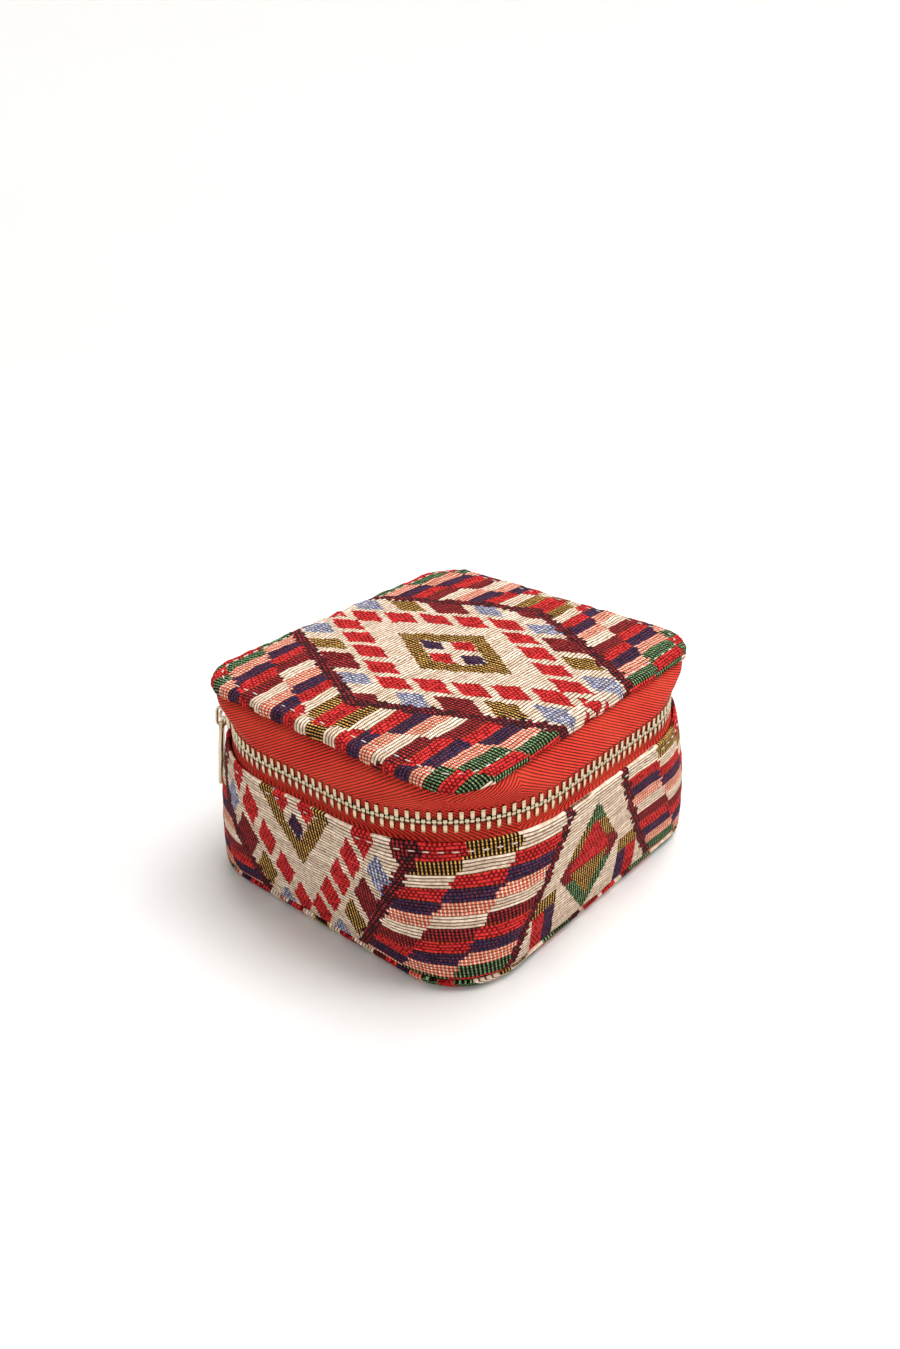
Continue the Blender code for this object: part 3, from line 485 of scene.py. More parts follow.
def grained(name, tint, roughness, scale, spread, bump, sheen=0.0):
    """Finish with soft mottling and a fine raised grain."""
    made, tree = new_material(name, roughness, sheen=sheen)
    place = object_vector(tree)
    fine = noise(tree, place, scale, 3.0)
    broad = noise(tree, place, scale * 0.08, 2.0)
    dark, light = shades(tint, 1 - spread, 1 + spread * 0.6)
    return surface(made, mix(tree, fine * 0.6 + broad * 0.4, dark, light), fine, bump)


def zip_metal(name):
    """Pale gold metal with faint wear and casting marks."""
    made, tree = new_material(name, 0.24, 1.0)
    place = object_vector(tree)
    wear = noise(tree, place, 700.0, 3.0)
    cloud = noise(tree, place, 120.0, 2.0)
    worn = mix(tree, wear.soft(0.35, 0.75) * 0.5, *shades(colours().metal, 1, 0.72))
    warm = mix(tree, cloud.soft(0.4, 0.7) * 0.35, worn, (0.92, 0.86, 0.76))
    return surface(made, warm, wear, 0.00002)


def toothed_metal(name):
    """Metal of the teeth: lit faces and heads, and painted shade between them and round their
    necks.
    """
    made, tree = new_material(name, 0.26, 1.0)
    depth, height = (number * MM for number in split_vector(tree, cloth_vector(tree)))
    # Painted shade: the teeth darken towards their inner sides, round their necks and near their
    # feet; the outer faces and the tops of the heads stay lit
    face = depth.size().soft(0.22, 0.66)
    neck = (height - 2.25).size().soft(0.05, 0.42)
    foot = (height - 0.42).size().soft(0.02, 0.20)
    head = height.soft(3.05, 3.25) * 0.85
    lit_share = (face * (neck * 0.60 + 0.40) * (foot * 0.30 + 0.70)).most(head)
    wear = noise(tree, object_vector(tree), 700.0, 3.0)
    # Wear mottles the metal; where the mask above is low, nearly black painted shade lies over it
    bright, worn, painted_shade = shades(colours().metal, 1.08, 0.75, 0.06)
    metal = mix(tree, wear.soft(0.35, 0.75) * 0.4, bright, worn)
    return surface(made, mix(tree, lit_share, painted_shade, metal), wear, 0.00002)


def thread(name, tint):
    """Twisted sewing thread."""
    made, tree = new_material(name, 0.62, sheen=0.3)
    wave = tree.nodes.new("ShaderNodeTexWave")
    wave.inputs["Scale"].default_value = 900.0
    wave.inputs["Distortion"].default_value = 1.2
    tree.links.new(object_vector(tree), wave.inputs["Vector"])
    twist = Number(tree, wave.outputs["Fac"])
    # The wave's darker bands are painted shade in the grooves of the twist, and also its bump
    return surface(made, mix(tree, twist, *shades(tint, 0.62, 1)), twist, 0.00005)


def looking_glass(name):
    """Silvered glass with a faint unevenness."""
    made, tree = new_material(name, 0.03, 1.0)
    haze = noise(tree, object_vector(tree), 60.0, 2.0)
    silver = mix(tree, haze, (0.84, 0.86, 0.87), (0.90, 0.91, 0.92))
    return surface(made, silver, haze, 0.00001)


MAKERS = {
    "kilim_lid": kilim,
    "kilim_wall": lambda name: kilim(name, (-0.046, 0.038), (1.0, 1.15)),
    "kilim_bottom": kilim,
    "kilim_hinge": lambda name: kilim(name, (0.0, 0.060)),
    "red_herringbone": herringbone,
    "pale_gold_metal": zip_metal,
    "pale_gold_teeth": toothed_metal,
    "dark_red_velvet": lambda name: grained(
        name, colours().velvet, 0.95, 1800.0, 0.7, 0.0004, sheen=0.3
    ),
    "grey_card": lambda name: grained(name, (0.42, 0.34, 0.24), 0.9, 900.0, 0.2, 0.0001),
    "white_wadding": lambda name: grained(name, (0.80, 0.78, 0.72), 0.95, 500.0, 0.15, 0.0004),
    "silvered_glass": looking_glass,
    "white_thread": lambda name: thread(name, (0.84, 0.78, 0.68)),
    "pale_floor": lambda name: grained(name, colours().floor, 0.75, 60.0, 0.02, 0.00002),
}
FINISHES = {}


def look(name):
    """A finish by its name, made the first time that it is asked for."""
    if name not in FINISHES:
        FINISHES[name] = MAKERS[name](name)
    return FINISHES[name]


# Modelling by hand

def clear_selection():
    """Leave edit mode and select nothing."""
    if bpy.context.object and bpy.context.object.mode != "OBJECT":
        bpy.ops.object.mode_set(mode="OBJECT")
    bpy.ops.object.select_all(action="DESELECT")


def pick_up(*objects):
    """Select these objects and make the first one active."""
    clear_selection()
    for obj in objects:
        obj.select_set(True)
    bpy.context.view_layer.objects.active = objects[0]
    return objects[0]


def edit(obj):
    """Open an object in edit mode with everything selected."""
    pick_up(obj)
    bpy.ops.object.mode_set(mode="EDIT")
    bpy.ops.mesh.select_all(action="SELECT")


def select_where(obj, kind, test):
    """Select only those edges or faces that pass a test, on an object in edit mode."""
    bpy.ops.mesh.select_all(action="DESELECT")
    mesh = bmesh.from_edit_mesh(obj.data)
    for element in getattr(mesh, kind):
        element.select_set(test(element))
    bmesh.update_edit_mesh(obj.data)


def add_object(name, data):
    """New object in the scene."""
    obj = bpy.data.objects.new(name, data)
    bpy.context.scene.collection.objects.link(obj)
    return obj


def outline(plan, height):
    """Rounded rectangle of edges, drawn at its height."""
    half_x, half_y, radius = plan

    def straight(edge):
        first, second = (vert.co for vert in edge.verts)
        short, long = sorted((abs(first.x - second.x), abs(first.y - second.y)))
        return short < 1e-7 and long > radius * 0.2

    clear_selection()
    bpy.ops.mesh.primitive_plane_add(size=2)
    obj = bpy.context.object
    edit(obj)
    bpy.ops.transform.resize(value=(half_x, half_y, 1))
    bpy.ops.mesh.bevel(
        offset=radius, offset_type="OFFSET", segments=CORNER_STEPS, affect="VERTICES"
    )
    select_where(obj, "edges", straight)
    bpy.ops.mesh.subdivide(number_cuts=SIDE_STEPS)
    bpy.ops.mesh.select_all(action="SELECT")
    bpy.ops.mesh.delete(type="ONLY_FACE")
    bpy.ops.mesh.select_all(action="SELECT")
    bpy.ops.transform.translate(value=(0, 0, height))
    clear_selection()
    return obj


def skin(name, levels, close_first=False, close_last=False):
    """Surface drawn over rounded outlines, given as (plan, height) from the lowest up."""
    obj = pick_up(*(outline(plan, height) for plan, height in levels))
    bpy.ops.object.join()
    obj.name = obj.data.name = name
    edit(obj)
    bpy.ops.mesh.bridge_edge_loops(type="SINGLE")
    for height, closed in ((levels[0][1], close_first), (levels[-1][1], close_last)):
        if closed:
            select_where(obj, "edges", lambda edge: edge.is_boundary and all(
                abs(vert.co.z - height) < 1e-6 for vert in edge.verts
            ))
            bpy.ops.mesh.edge_face_add()
            bpy.ops.mesh.inset(thickness=0.004)
    bpy.ops.mesh.select_all(action="SELECT")
    bpy.ops.mesh.remove_doubles(threshold=1e-6)
    bpy.ops.mesh.normals_make_consistent(inside=False)
    clear_selection()
    return obj


def apply(obj, kind, **settings):
    """Add a modifier, set it and apply it."""
    pick_up(obj)
    modifier = obj.modifiers.new(kind.lower(), kind)
    for setting, value in settings.items():
        setattr(modifier, setting, value)
    bpy.ops.object.modifier_apply(modifier=modifier.name)
    return obj


def thicken(obj, thickness):
    """Give a cloth surface its thickness, inward."""
    return apply(obj, "SOLIDIFY", thickness=thickness, offset=-1.0, use_even_offset=True)


def soften_edges(obj, width, segments, angle):
    """Round the edges sharper than an angle."""
    apply(obj, "BEVEL", width=width, segments=segments,
          limit_method="ANGLE", angle_limit=math.radians(angle))


def split_faces(obj, times):
    """Split each face in four, so many times, and leave the form as it is."""
    apply(obj, "SUBSURF", levels=times, render_levels=times, subdivision_type="SIMPLE")


def ruffle(obj, strength, size):
    """Slight unevenness of sewn cloth."""
    clouds = bpy.data.textures.new(obj.name + "_clouds", "CLOUDS")
    clouds.noise_scale = size
    apply(obj, "DISPLACE", texture=clouds, strength=strength, texture_coords="LOCAL")


def smooth(obj, angle=40.0):
    """Shade smooth up to an edge angle."""
    pick_up(obj)
    bpy.ops.object.shade_smooth_by_angle(angle=math.radians(angle))


def lay_cloth(obj, place):
    """Write the cloth's own lengths: place gives (along, across) for a point and its face."""
    layer = obj.data.uv_layers.new(name="cloth")
    for face in obj.data.polygons:
        for corner in face.loop_indices:
            point = obj.data.vertices[obj.data.loops[corner].vertex_index].co
            layer.data[corner].uv = place(point, face.center)


def finish_piece(obj, finish, body=None, nodes=()):
    """Give a piece its finish and its place in the case."""
    obj.data.materials.clear()
    obj.data.materials.append(look(finish))
    if body:
        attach(obj, body)
    if nodes:
        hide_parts(*nodes)


def wall_plan(height, inset=0.0):
    """Plan of the base wall at a height."""
    size = sizes()
    drop = max(0.0, 1.0 - height / size.rim_height)
    flare = size.wall_flare * drop ** 2
    radius = size.rim_radius - (size.rim_radius - size.foot_radius) * drop ** 0.95
    return size.rim_half_x - flare - inset, size.rim_half_y - flare - inset, radius - inset


def zip_plan(inset=0.0):
    """Plan of the zip's path."""
    size = sizes()
    return size.zip_half_x - inset, size.zip_half_y - inset, size.zip_radius - inset


def lid_plan(inset=0.0):
    """Plan of the lid."""
    size = sizes()
    return (
        size.lid_half_x - inset, size.lid_half_y - inset,
        max(size.lid_radius - inset, LEAST_CORNER),
    )


def edge_levels(plan, steps):
    """Levels from (inset, height) pairs, for a plan that takes its inset."""
    return [(plan(inset), height) for inset, height in steps]


def rounded_foot(angles, height, radius, inset=0.0):
    """Levels of a rounded bottom edge, from the flat underside up, at angles in degrees."""
    levels = []
    for turned in map(math.radians, angles):
        plan = wall_plan(height + radius, inset + radius * (1 - math.sin(turned)))
        levels.append((plan, height + radius * (1 - math.cos(turned))))
    return levels


def nearest_inside(point, plan):
    """Nearest x and y on the rectangle whose corners are the middles of a plan's corners."""
    half_x, half_y, radius = plan
    reach_x, reach_y = half_x - radius, half_y - radius
    return min(max(point.x, -reach_x), reach_x), min(max(point.y, -reach_y), reach_y)


def length_round(point, plan):
    """Length along a plan from its front left corner: to the right, or to the left if negative."""
    half_x, half_y, radius = plan
    inner_x, inner_y = half_x - radius, half_y - radius
    near_x, near_y = nearest_inside(point, plan)
    turn = math.atan2(point.y - near_y, point.x - near_x)
    straight = near_x + inner_x + near_y + inner_y
    if point.x < 0 and point.y >= -inner_y:
        turn = turn if turn > 0 else turn + 2 * math.pi
        return (turn - math.pi * 1.25) * radius - straight
    if point.y >= inner_y:
        straight = 3 * inner_x - near_x + 2 * inner_y
    return (turn + math.pi * 0.75) * radius + straight


def round_cloth(plan_at, across=lambda point: point.z):
    """Cloth lengths for a strip that runs round the case and meets behind it."""

    def place(point, centre):
        along = length_round(point, plan_at(point.z))
        middle = length_round(centre, plan_at(centre.z))
        if abs(along - middle) > 0.1:
            along += math.copysign(GIRTH, middle - along)
        return along, across(point)

    return place


def folded_cloth(plan, drop):
    """Cloth lengths for a panel with a turned edge: drop says how far round it a point lies."""

    def place(point, centre):
        flat = Vector((point.x, point.y))
        out = flat - Vector(nearest_inside(point, plan))
        if out.length > 1e-6:
            out.normalize()
        return flat + out * drop(point)

    return place


def cut_by_turns(obj, turns):
    """Cut a piece by upright planes through the middle, in the directions turns, in degrees."""
    for turn in turns:
        edit(obj)
        angle = math.radians(turn)
        bpy.ops.mesh.bisect(plane_co=(0, 0, 0), plane_no=(-math.sin(angle), math.cos(angle), 0))
    clear_selection()


def keep_turns(source, name, start, stop):
    """Copy of a piece with only the faces that lie between two directions, in degrees."""

    def outside(face):
        middle = face.calc_center_median()
        turn = math.degrees(math.atan2(middle.y, middle.x)) % 360
        return not any(start < turn + whole < stop for whole in (0, 360))

    obj = add_object(name, source.data.copy())
    obj.data.name = name
    edit(obj)
    select_where(obj, "faces", outside)
    bpy.ops.mesh.delete(type="FACE")
    clear_selection()
    return obj


def zip_turn(angle):
    """Direction, seen from the middle, of a point at an angle round the zip's back corner."""
    size = sizes()
    angle = math.radians(angle)
    x = size.zip_half_x - size.zip_radius + size.zip_radius * math.cos(angle)
    y = size.zip_half_y - size.zip_radius + size.zip_radius * math.sin(angle)
    return 180 - math.degrees(math.atan2(y, x))


def round_point(plan, distance):
    """Place and outward direction on a plan, at a distance from the back of its left side."""
    half_x, half_y, radius = plan
    corner_x, corner_y = half_x - radius, half_y - radius
    quarter = radius * math.pi / 2
    stretches = [
        (True, quarter, Vector((-corner_x, corner_y)), 90),
        (False, 2 * corner_y, Vector((-half_x, corner_y)), 180),
        (True, quarter, Vector((-corner_x, -corner_y)), 180),
        (False, 2 * corner_x, Vector((-corner_x, -half_y)), 270),
        (True, quarter, Vector((corner_x, -corner_y)), 270),
        (False, 2 * corner_y, Vector((half_x, -corner_y)), 360),
        (True, quarter, Vector((corner_x, corner_y)), 360),
        (False, 2 * corner_x, Vector((corner_x, half_y)), 450),
    ]
    distance += quarter
    for curved, stretch, place, facing in stretches:
        if distance <= stretch:
            break
        distance -= stretch
    turned = math.radians(facing) + (distance / radius if curved else 0)
    outward = Vector((math.cos(turned), math.sin(turned)))
    if curved:
        return place + outward * radius, outward
    return place + Vector((-outward.y, outward.x)) * distance, outward


def repeat(name, model, places):
    """Copies of a model at many places, joined in one piece; the model itself is used up."""
    copies = []
    for place in places:
        copy = add_object(name, model.data.copy())
        copy.data.transform(place)
        copies.append(copy)
    joined = pick_up(*copies)
    bpy.ops.object.join()
    joined.name = joined.data.name = name
    bpy.data.objects.remove(model, do_unlink=True)
    return joined


def upright_place(point, outward, height, roll=0.0):
    """Matrix that stands a model on a path: X along it, Y outward, Z up."""
    along = Vector((-outward.y, outward.x, 0))
    out = Vector((outward.x, outward.y, 0))
    turn = Matrix((along, out, Vector((0, 0, 1)))).transposed().to_4x4()
    return Matrix.Translation((point.x, point.y, height)) @ turn @ Matrix.Rotation(roll, 4, "X")


def copy_of_node(node, name):
    """Merged copy of a solid of the frame, as a free piece."""
    obj = add_object(name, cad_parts[node].data.copy())
    obj.data.name = name
    edit(obj)
    bpy.ops.mesh.remove_doubles(threshold=1e-6)
    bpy.ops.mesh.tris_convert_to_quads()
    clear_selection()
    return obj


def bend_corner(obj, side):
    """Fix a piece at a back corner in place, in the scene's own space; it does not follow the base
    or the lid.
    """
    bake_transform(obj)


# The pieces

class CASE_OT_wall(bpy.types.Operator):
    """Kilim wall of the base, with its folded top edge, and the bottom panel below the seam"""

    bl_idname = "case.wall"
    bl_label = "Wall and bottom"

    def execute(self, context):
        size = sizes()
        top, seam, foot = size.rim_height, size.seam_height, size.foot_round
        levels = [(wall_plan(seam, 0.0006), seam - 0.0001), (wall_plan(seam), seam + 0.0006)]
        for share in (0.22, 0.36, 0.50, 0.64, 0.78, 0.90, 1.0):
            levels.append((wall_plan(share * top), share * top))
        wall = thicken(skin("wall_cloth", levels), size.cloth)
        soften_edges(wall, 0.00038, 2, 60.0)
        split_faces(wall, 1)
        ruffle(wall, 0.0006, 0.014)
        ruffle(wall, 0.0004, 0.0022)
        lay_cloth(wall, round_cloth(wall_plan))
        smooth(wall)
        finish_piece(wall, "kilim_wall", "base", ["base_wall_cover"])

        levels = rounded_foot((0, 20, 40, 60, 80), 0.0, foot)
        levels.append((wall_plan(seam, 0.0006), seam - 0.0003))
        bottom = thicken(skin("bottom_cloth", levels, close_first=True), size.cloth)
        lay_cloth(bottom, folded_cloth(wall_plan(foot), lambda point: point.z))
        smooth(bottom)
        finish_piece(bottom, "kilim_bottom", "base", ["base_bottom_cover"])
        return {"FINISHED"}


class CASE_OT_lid(bpy.types.Operator):
    """Padded kilim lid with a soft edge and the shallow groove of its stitching"""

    bl_idname = "case.lid"
    bl_label = "Lid"

    def execute(self, context):
        size = sizes()
        edge, top, crown = size.lid_edge, size.lid_top, size.lid_crown
        levels = edge_levels(lid_plan, (
            (0.0032, edge), (0.0009, edge + 0.00002), (0.0002, edge + 0.0004),
            (0.0, edge + 0.0011), (0.0001, top - 0.0009), (0.0005, top - 0.0002),
            (0.0012, top + 0.00015), (0.0020, top + 0.00022), (0.0027, top + 0.00024),
            (0.0032, top + 0.00026), (0.0038, top + 0.00036), (0.0050, top + 0.00050),
            (0.0080, top + 0.5 * crown), (0.0140, top + 0.75 * crown),
            (0.0240, top + 0.93 * crown), (0.0340, top + crown),
        ))
        lid = thicken(skin("lid_cloth", levels, close_last=True), 0.0008)
        split_faces(lid, 2)
        ruffle(lid, 0.0009, 0.011)
        ruffle(lid, 0.0009, 0.0030)
        lay_cloth(lid, folded_cloth(lid_plan(), lambda point: max(0.0, top - point.z)))
        smooth(lid, 60.0)
        finish_piece(lid, "kilim_lid", "lid", ["lid_cover"])
        return {"FINISHED"}


class CASE_OT_tapes(bpy.types.Operator):
    """Herringbone zip tapes: a narrow one below, and a wide one whose two ends at the back corners
    are pieces of their own
    """

    bl_idname = "case.tapes"
    bl_label = "Zip tapes"

    def execute(self, context):
        size = sizes()
        middle = size.zip_height
        foot = middle + HALF_CHAIN
        out = -size.tape / 2
        ends, rigid = zip_turn(TAPE_END), zip_turn(0.0)
        lower = skin("lower_tape_ring", [
            (wall_plan(size.rim_height, 0.0013), 0.0345),
            (wall_plan(size.rim_height, 0.0013), size.rim_height - 0.0004),
            (zip_plan(out - 0.0002), middle - HALF_CHAIN - 0.0016),
            (zip_plan(out), middle - HALF_CHAIN),
            (zip_plan(out), middle - 0.0007),
        ])
        cut_by_turns(lower, [ends, 180 - ends])
        tape = keep_turns(lower, "lower_tape", ends, 540 - ends)
        bpy.data.objects.remove(lower, do_unlink=True)
        thicken(tape, size.tape)
        lay_cloth(tape, round_cloth(lambda z: zip_plan(), lambda point: point.z - middle))
        smooth(tape)
        finish_piece(tape, "red_herringbone", "base", ["lower_zip_tape"])

        lid_foot = lid_plan(0.0009)
        levels = edge_levels(zip_plan, (
            (out, middle + 0.0007), (out, foot), (out - 0.0003, foot + 0.0009),
        ))
        for share, bulge in ((0.35, 0.0008), (0.62, 0.0010), (0.85, 0.0005)):
            plan = [
                start + (stop - start) * share + bulge
                for start, stop in zip(zip_plan(out), lid_foot)
            ]
            levels.append((plan, foot + 0.0006 + (size.lid_edge - foot - 0.0006) * share))
        levels.append((lid_foot, size.lid_edge - 0.00005))
        upper = skin("upper_tape_ring", levels)
        cut_by_turns(upper, [ends, 180 - ends, rigid, 180 - rigid])
        for name, start, stop, node, side in (
            ("upper_tape", rigid, 540 - rigid, "upper_zip_tape", 0),
            ("upper_tape_left", ends, rigid, "upper_tape_left_end", -1),
            ("upper_tape_right", 540 - rigid, 540 - ends, "upper_tape_right_end", 1),
        ):
            tape = keep_turns(upper, name, start, stop)
            thicken(tape, size.tape)
            lay_cloth(tape, round_cloth(
                lambda z: zip_plan(), lambda point: (point.z - middle) * 1.15
            ))
            smooth(tape)
            finish_piece(tape, "red_herringbone", None if side else "lid", [node])
            if side:
                bend_corner(tape, side)
        bpy.data.objects.remove(upper, do_unlink=True)
        return {"FINISHED"}


def tooth_model():
    """One crimped tooth that points up: a narrow leg round the tape's cord, and a wider head."""
    clear_selection()
    bpy.ops.mesh.primitive_cube_add(size=1)
    tooth = bpy.context.object
    edit(tooth)
    bpy.ops.transform.resize(value=(0.00092, 0.00156, 0.0020))
    bpy.ops.transform.translate(value=(0, 0, 0.0010))
    select_where(tooth, "faces", lambda face: face.normal.z > 0.5)
    bpy.ops.mesh.inset(thickness=0.00013)
    for rise, scale in ((0.0004, None), (0.0002, (1.62, 1.0, 1)), (0.0007, (0.86, 0.80, 1))):
        bpy.ops.mesh.extrude_region_move(TRANSFORM_OT_translate={"value": (0, 0, rise)})
        if scale:
            bpy.ops.transform.resize(value=scale)
    clear_selection()
    soften_edges(tooth, 0.00022, 2, 40.0)
    smooth(tooth, 60.0)
    lay_cloth(tooth, lambda point, centre: (point.y, point.z))
    return tooth


class CASE_OT_teeth(bpy.types.Operator):
    """Two rows of metal teeth, each split into pieces at the back corners"""

    bl_idname = "case.teeth"
    bl_label = "Zip teeth"

    def execute(self, context):
        size = sizes()
        plan = zip_plan()
        pitch, middle = size.tooth_pitch, size.zip_height
        side = 2 * (size.zip_half_y - size.zip_radius)
        front = 2 * (size.zip_half_x - size.zip_radius)
        whole = 2 * side + front + size.zip_radius * math.pi
        end = math.radians(TEETH_END) * size.zip_radius
        rows = [
            ("lower_teeth_row", 0.0, whole + end, 1, "lower_teeth", "base"),
            ("lower_teeth_left", -end, 0.0, 1, "lower_teeth_left_end", "base"),
            ("upper_teeth_row", 0.0, whole, -1, "upper_teeth", "lid"),
            ("upper_teeth_left", -end, 0.0, -1, "upper_teeth_left_end", None),
            ("upper_teeth_right", whole, whole + end, -1, "upper_teeth_right_end", None),
        ]
        for name, start, stop, up, node, body in rows:
            shift = pitch / 2 if up > 0 else 0.0
            first = math.ceil((start - shift) / pitch)
            last = math.floor((stop - shift) / pitch)
            places = []
            for index in range(first, last + 1):
                distance = index * pitch + shift
                reach = abs(distance - whole / 2)
                if start <= distance < stop and reach <= whole / 2 + end - 0.0009:
                    point, outward = round_point(plan, distance)
                    height = middle - up * HALF_CHAIN
                    roll = 0.0 if up > 0 else math.pi
                    places.append(upright_place(point, outward, height, roll))
            row = repeat(name, tooth_model(), places)
            finish_piece(row, "pale_gold_teeth", body, [node])
            if body is None:
                bend_corner(row, -1 if "left" in name else 1)
        return {"FINISHED"}


class CASE_OT_slider(bpy.types.Operator):
    """Slider, link, pull and bottom stop in worn metal; the pull and the stop with eased edges"""

    bl_idname = "case.slider"
    bl_label = "Slider and pull"

    def execute(self, context):
        for node, body in (
            ("slider", "slider"), ("pull_link", "link"),
            ("pull_tab", "pull"), ("zip_bottom_stop", "base"),
        ):
            piece = copy_of_node(node, node + "_metal")
            if node in ("pull_tab", "zip_bottom_stop"):
                soften_edges(piece, 0.00022, 2, 40.0)
            smooth(piece, 42.0)
            finish_piece(piece, "pale_gold_metal", body, [node])
        return {"FINISHED"}


def running_stitches(name, plan, height, body):
    """Running stitches all round a plan, each a short and slightly flattened thread."""
    clear_selection()
    bpy.ops.mesh.primitive_uv_sphere_add(segments=8, ring_count=6, radius=1)
    stitch = bpy.context.object
    edit(stitch)
    bpy.ops.transform.resize(value=(sizes().stitch / 2, 0.00020, 0.00017))
    clear_selection()
    half_x, half_y, radius = plan
    whole = 4 * (half_x + half_y - 2 * radius) + 2 * math.pi * radius
    count = round(whole / (sizes().stitch + sizes().stitch_gap))
    places = []
    for index in range(count):
        point, outward = round_point(plan, index * whole / count - radius * math.pi / 2)
        places.append(upright_place(point, outward, height))
    seam = repeat(name, stitch, places)
    smooth(seam, 80.0)
    finish_piece(seam, "white_thread", body, ())


class CASE_OT_stitches(bpy.types.Operator):
    """Running stitches round the lid and under the rim of the wall"""

    bl_idname = "case.stitches"
    bl_label = "Stitching"

    def execute(self, context):
        size = sizes()
        running_stitches("lid_stitches", lid_plan(0.0031), size.lid_top + 0.00036, "lid")
        height = size.rim_height - 0.0021
        running_stitches("rim_stitches", wall_plan(height, 0.00005), height, "base")
        return {"FINISHED"}


class CASE_OT_tray(bpy.types.Operator):
    """Velvet tray, dividers, ring rolls and the binding round the rim"""

    bl_idname = "case.tray"
    bl_label = "Tray"

    def execute(self, context):
        low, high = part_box("base_lining")
        inset = 0.0043
        levels = rounded_foot((0, 25, 50, 75), low.z, 0.003, inset)
        for height in (low.z + 0.004, 0.014, 0.022, 0.030, high.z):
            levels.append((wall_plan(height, inset), height))
        lining = thicken(skin("tray_lining", levels, close_first=True), 0.0006)
        ruffle(lining, 0.0002, 0.014)
        smooth(lining, 50.0)
        finish_piece(lining, "dark_red_velvet", "base", ["base_lining"])

        low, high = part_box("base_binding")
        plan = wall_plan(sizes().rim_height, 0.0022)
        binding = thicken(skin("rim_binding", [(plan, low.z), (plan, high.z)]), 0.0027)
        soften_edges(binding, 0.0006, 3, 50.0)
        lay_cloth(binding, round_cloth(lambda z: zip_plan()))
        smooth(binding)
        finish_piece(binding, "red_herringbone", "base", ["base_binding"])

        for number in range(1, 5):
            low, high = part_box(f"ring_roll_{number}")
            clear_selection()
            bpy.ops.mesh.primitive_cylinder_add(
                vertices=28, radius=(high.z - low.z) / 2, depth=high.y - low.y,
                location=(low + high) / 2, rotation=(math.pi / 2, 0, 0),
            )
            roll = bpy.context.object
            bpy.ops.object.transform_apply(location=True, rotation=True, scale=True)
            roll.name = f"padded_roll_{number}"
            soften_edges(roll, 0.0028, 4, 60.0)
            apply(roll, "SUBSURF", levels=1, render_levels=1)
            ruffle(roll, 0.0003, 0.010)
            smooth(roll, 60.0)
            finish_piece(roll, "dark_red_velvet", "base", [f"ring_roll_{number}"])

        for node in ("long_divider", "cross_divider"):
            board = copy_of_node(node, node + "_velvet")
            soften_edges(board, 0.0007, 3, 50.0)
            smooth(board)
            finish_piece(board, "dark_red_velvet", "base", [node])
        return {"FINISHED"}


class CASE_OT_lid_inside(bpy.types.Operator):
    """Velvet panel, mirror and binding on the underside of the lid"""

    bl_idname = "case.lid_inside"
    bl_label = "Inside of the lid"

    def execute(self, context):
        low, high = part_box("lid_lining")
        levels = edge_levels(lid_plan, (
            (0.0043, low.z), (0.0040, low.z + 0.0002), (0.0040, high.z),
        ))
        panel = skin("lid_velvet", levels, close_first=True, close_last=True)
        smooth(panel, 50.0)
        finish_piece(panel, "dark_red_velvet", "lid", ["lid_lining"])

        low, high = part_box("lid_binding")
        plan = lid_plan(0.0010)
        binding = thicken(skin("lid_trim", [(plan, low.z), (plan, high.z)]), 0.0032)
        soften_edges(binding, 0.0004, 3, 50.0)
        lay_cloth(binding, round_cloth(lambda z: lid_plan()))
        smooth(binding)
        finish_piece(binding, "red_herringbone", "lid", ["lid_binding"])

        mirror = copy_of_node("lid_mirror", "bevelled_mirror")
        soften_edges(mirror, 0.0003, 2, 50.0)
        smooth(mirror)
        finish_piece(mirror, "silvered_glass", "lid", ["lid_mirror"])
        return {"FINISHED"}


class CASE_OT_hinge(bpy.types.Operator):
    """Kilim strip that hinges the lid, and the folded ends of the zip tape beside it"""

    bl_idname = "case.hinge"
    bl_label = "Hinge strip"

    def execute(self, context):
        strip = copy_of_node("hinge_panel", "hinge_cloth")
        for side in (-1, 1):
            edit(strip)
            select_where(strip, "faces", lambda face: face.normal.x * side > 0.9)
            bpy.ops.mesh.extrude_region_move(
                TRANSFORM_OT_translate={"value": (side * 0.0013, -0.003, 0)}
            )
            bpy.ops.transform.resize(value=(1, 0.12, 1), center_override=(0, 0.0448, 0))
        clear_selection()
        split_faces(strip, 2)
        lay_cloth(strip, lambda point, centre: (point.x, point.z))
        smooth(strip, 60.0)
        finish_piece(strip, "kilim_hinge", None, ["hinge_panel"])
        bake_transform(strip)
        for side in ("left", "right"):
            node = f"zip_end_patch_{side}"
            patch = copy_of_node(node, f"tape_fold_{side}")
            split_faces(patch, 2)
            lay_cloth(patch, round_cloth(lambda z: zip_plan()))
            smooth(patch, 60.0)
            finish_piece(patch, "red_herringbone", None, [node])
            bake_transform(patch)
        return {"FINISHED"}


class CASE_OT_hidden(bpy.types.Operator):
    """Boards and wadding inside the walls and the lid"""

    bl_idname = "case.hidden"
    bl_label = "Boards and wadding"

    def execute(self, context):
        for node in ("base_wall_board", "base_floor_board", "lid_board", "lid_inner_board"):
            finish_piece(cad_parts[node], "grey_card")
        for node, name, body in (
            ("base_wall_padding", "wall_wadding", "base"),
            ("lid_foam", "lid_wadding", "lid"),
        ):
            pad = copy_of_node(node, name)
            smooth(pad, 60.0)
            finish_piece(pad, "white_wadding", body, [node])
        return {"FINISHED"}


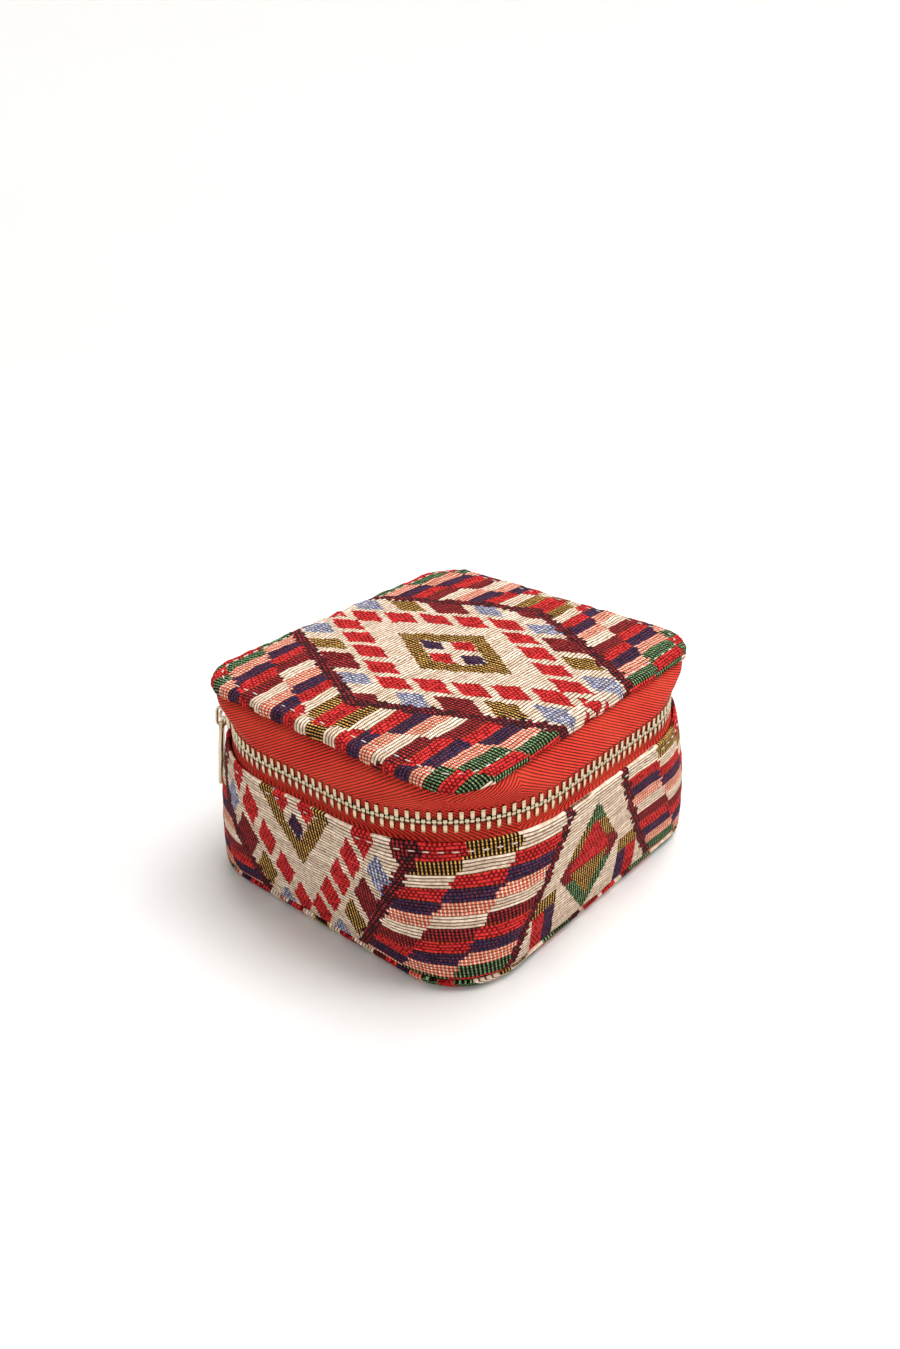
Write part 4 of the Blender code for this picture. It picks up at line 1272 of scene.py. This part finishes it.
class CASE_OT_stage(bpy.types.Operator):
    """Pale floor that curves up far away, soft studio light and the camera"""

    bl_idname = "case.stage"
    bl_label = "Stage"

    def execute(self, context):
        scene = context.scene
        clear_selection()
        bpy.ops.mesh.primitive_circle_add(vertices=96, radius=0.8, fill_type="NGON")
        floor = bpy.context.object
        floor.name = "studio_floor"
        edit(floor)
        bpy.ops.mesh.inset(thickness=0.25)
        select_where(floor, "edges", lambda edge: edge.is_boundary)
        for rise, spread in (
            (0.02, 1.12), (0.07, 1.12), (0.16, 1.10), (0.30, 1.06), (0.9, 1.04)
        ):
            bpy.ops.mesh.extrude_edges_move(TRANSFORM_OT_translate={"value": (0, 0, rise)})
            bpy.ops.transform.resize(value=(spread, spread, 1))
        clear_selection()
        smooth(floor, 60.0)
        finish_piece(floor, "pale_floor")

        world = bpy.data.worlds.new("soft_room")
        world.use_nodes = True
        background = world.node_tree.nodes["Background"]
        background.inputs["Color"].default_value = (1.0, 0.99, 0.98, 1)
        background.inputs["Strength"].default_value = 0.36
        scene.world = world
        scene.view_settings.view_transform = "Standard"
        target = Vector((0.0, 0.0, 0.03))
        for name, place, width, power in (
            ("key_light", (0.45, -0.70, 0.85), 0.45, 3.0),
            ("back_light", (0.45, 0.55, 0.85), 0.5, 1.5),
            ("top_light", (0.30, -0.12, 1.05), 0.7, 10.0),
        ):
            data = bpy.data.lights.new(name, "AREA")
            data.shape = "SQUARE"
            data.size = width
            data.energy = power
            lamp = add_object(name, data)
            lamp.location = place
            aim = target - Vector(place)
            lamp.rotation_euler = aim.to_track_quat("-Z", "Y").to_euler()

        # The camera, as it was fitted to the outline in the photograph
        azimuth, elevation, roll = map(math.radians, (-48.454, 28.079, -1.421))
        back = Vector((
            math.sin(azimuth) * math.cos(elevation),
            -math.cos(azimuth) * math.cos(elevation),
            math.sin(elevation),
        ))
        right = Vector((math.cos(azimuth), math.sin(azimuth), 0))
        up = back.cross(right)
        leaned_right = right * math.cos(roll) + up * math.sin(roll)
        leaned_up = up * math.cos(roll) - right * math.sin(roll)
        place = Vector((0.020591, 0.019630, 0.0270)) + back * 0.33649
        data = bpy.data.cameras.new("camera")
        data.sensor_fit = "AUTO"
        data.sensor_width = 36.0
        data.lens = 30.39
        data.shift_y = 0.0226
        data.clip_start = 0.01
        turn = Matrix((leaned_right, leaned_up, back)).transposed().to_4x4()
        scene.camera = add_object("camera", data)
        scene.camera.matrix_world = Matrix.Translation(place) @ turn
        return {"FINISHED"}


class CASE_PT_panel(bpy.types.Panel):
    """Lists the pieces of the case, with their sizes and colours"""

    bl_idname = "CASE_PT_panel"
    bl_label = "Jewelry case"
    bl_space_type = "VIEW_3D"
    bl_region_type = "UI"
    bl_category = "Jewelry case"

    def draw(self, context):
        for step in STEPS:
            self.layout.operator(step.bl_idname)
        for group in (context.scene.case_sizes, context.scene.case_colours):
            box = self.layout.box()
            for name in group.__annotations__:
                box.prop(group, name)


STEPS = (
    CASE_OT_stage,
    CASE_OT_wall,
    CASE_OT_lid,
    CASE_OT_tapes,
    CASE_OT_teeth,
    CASE_OT_slider,
    CASE_OT_stitches,
    CASE_OT_tray,
    CASE_OT_lid_inside,
    CASE_OT_hinge,
    CASE_OT_hidden,
)
CLASSES = (CASE_PG_sizes, CASE_PG_colours, *STEPS, CASE_PT_panel)


def register():
    """Register the classes and hang the sizes and colours on the scene."""
    for item in CLASSES:
        bpy.utils.register_class(item)
    bpy.types.Scene.case_sizes = PointerProperty(type=CASE_PG_sizes)
    bpy.types.Scene.case_colours = PointerProperty(type=CASE_PG_colours)


def unregister():
    """Take all of it away again."""
    del bpy.types.Scene.case_colours
    del bpy.types.Scene.case_sizes
    for item in reversed(CLASSES):
        bpy.utils.unregister_class(item)


def main():
    """Make every piece in turn."""
    register()
    bpy.ops.case.stage()
    bpy.ops.case.wall()
    bpy.ops.case.lid()
    bpy.ops.case.tapes()
    bpy.ops.case.teeth()
    bpy.ops.case.slider()
    bpy.ops.case.stitches()
    bpy.ops.case.tray()
    bpy.ops.case.lid_inside()
    bpy.ops.case.hinge()
    bpy.ops.case.hidden()
    clear_selection()


if __name__ == "__main__":
    main()
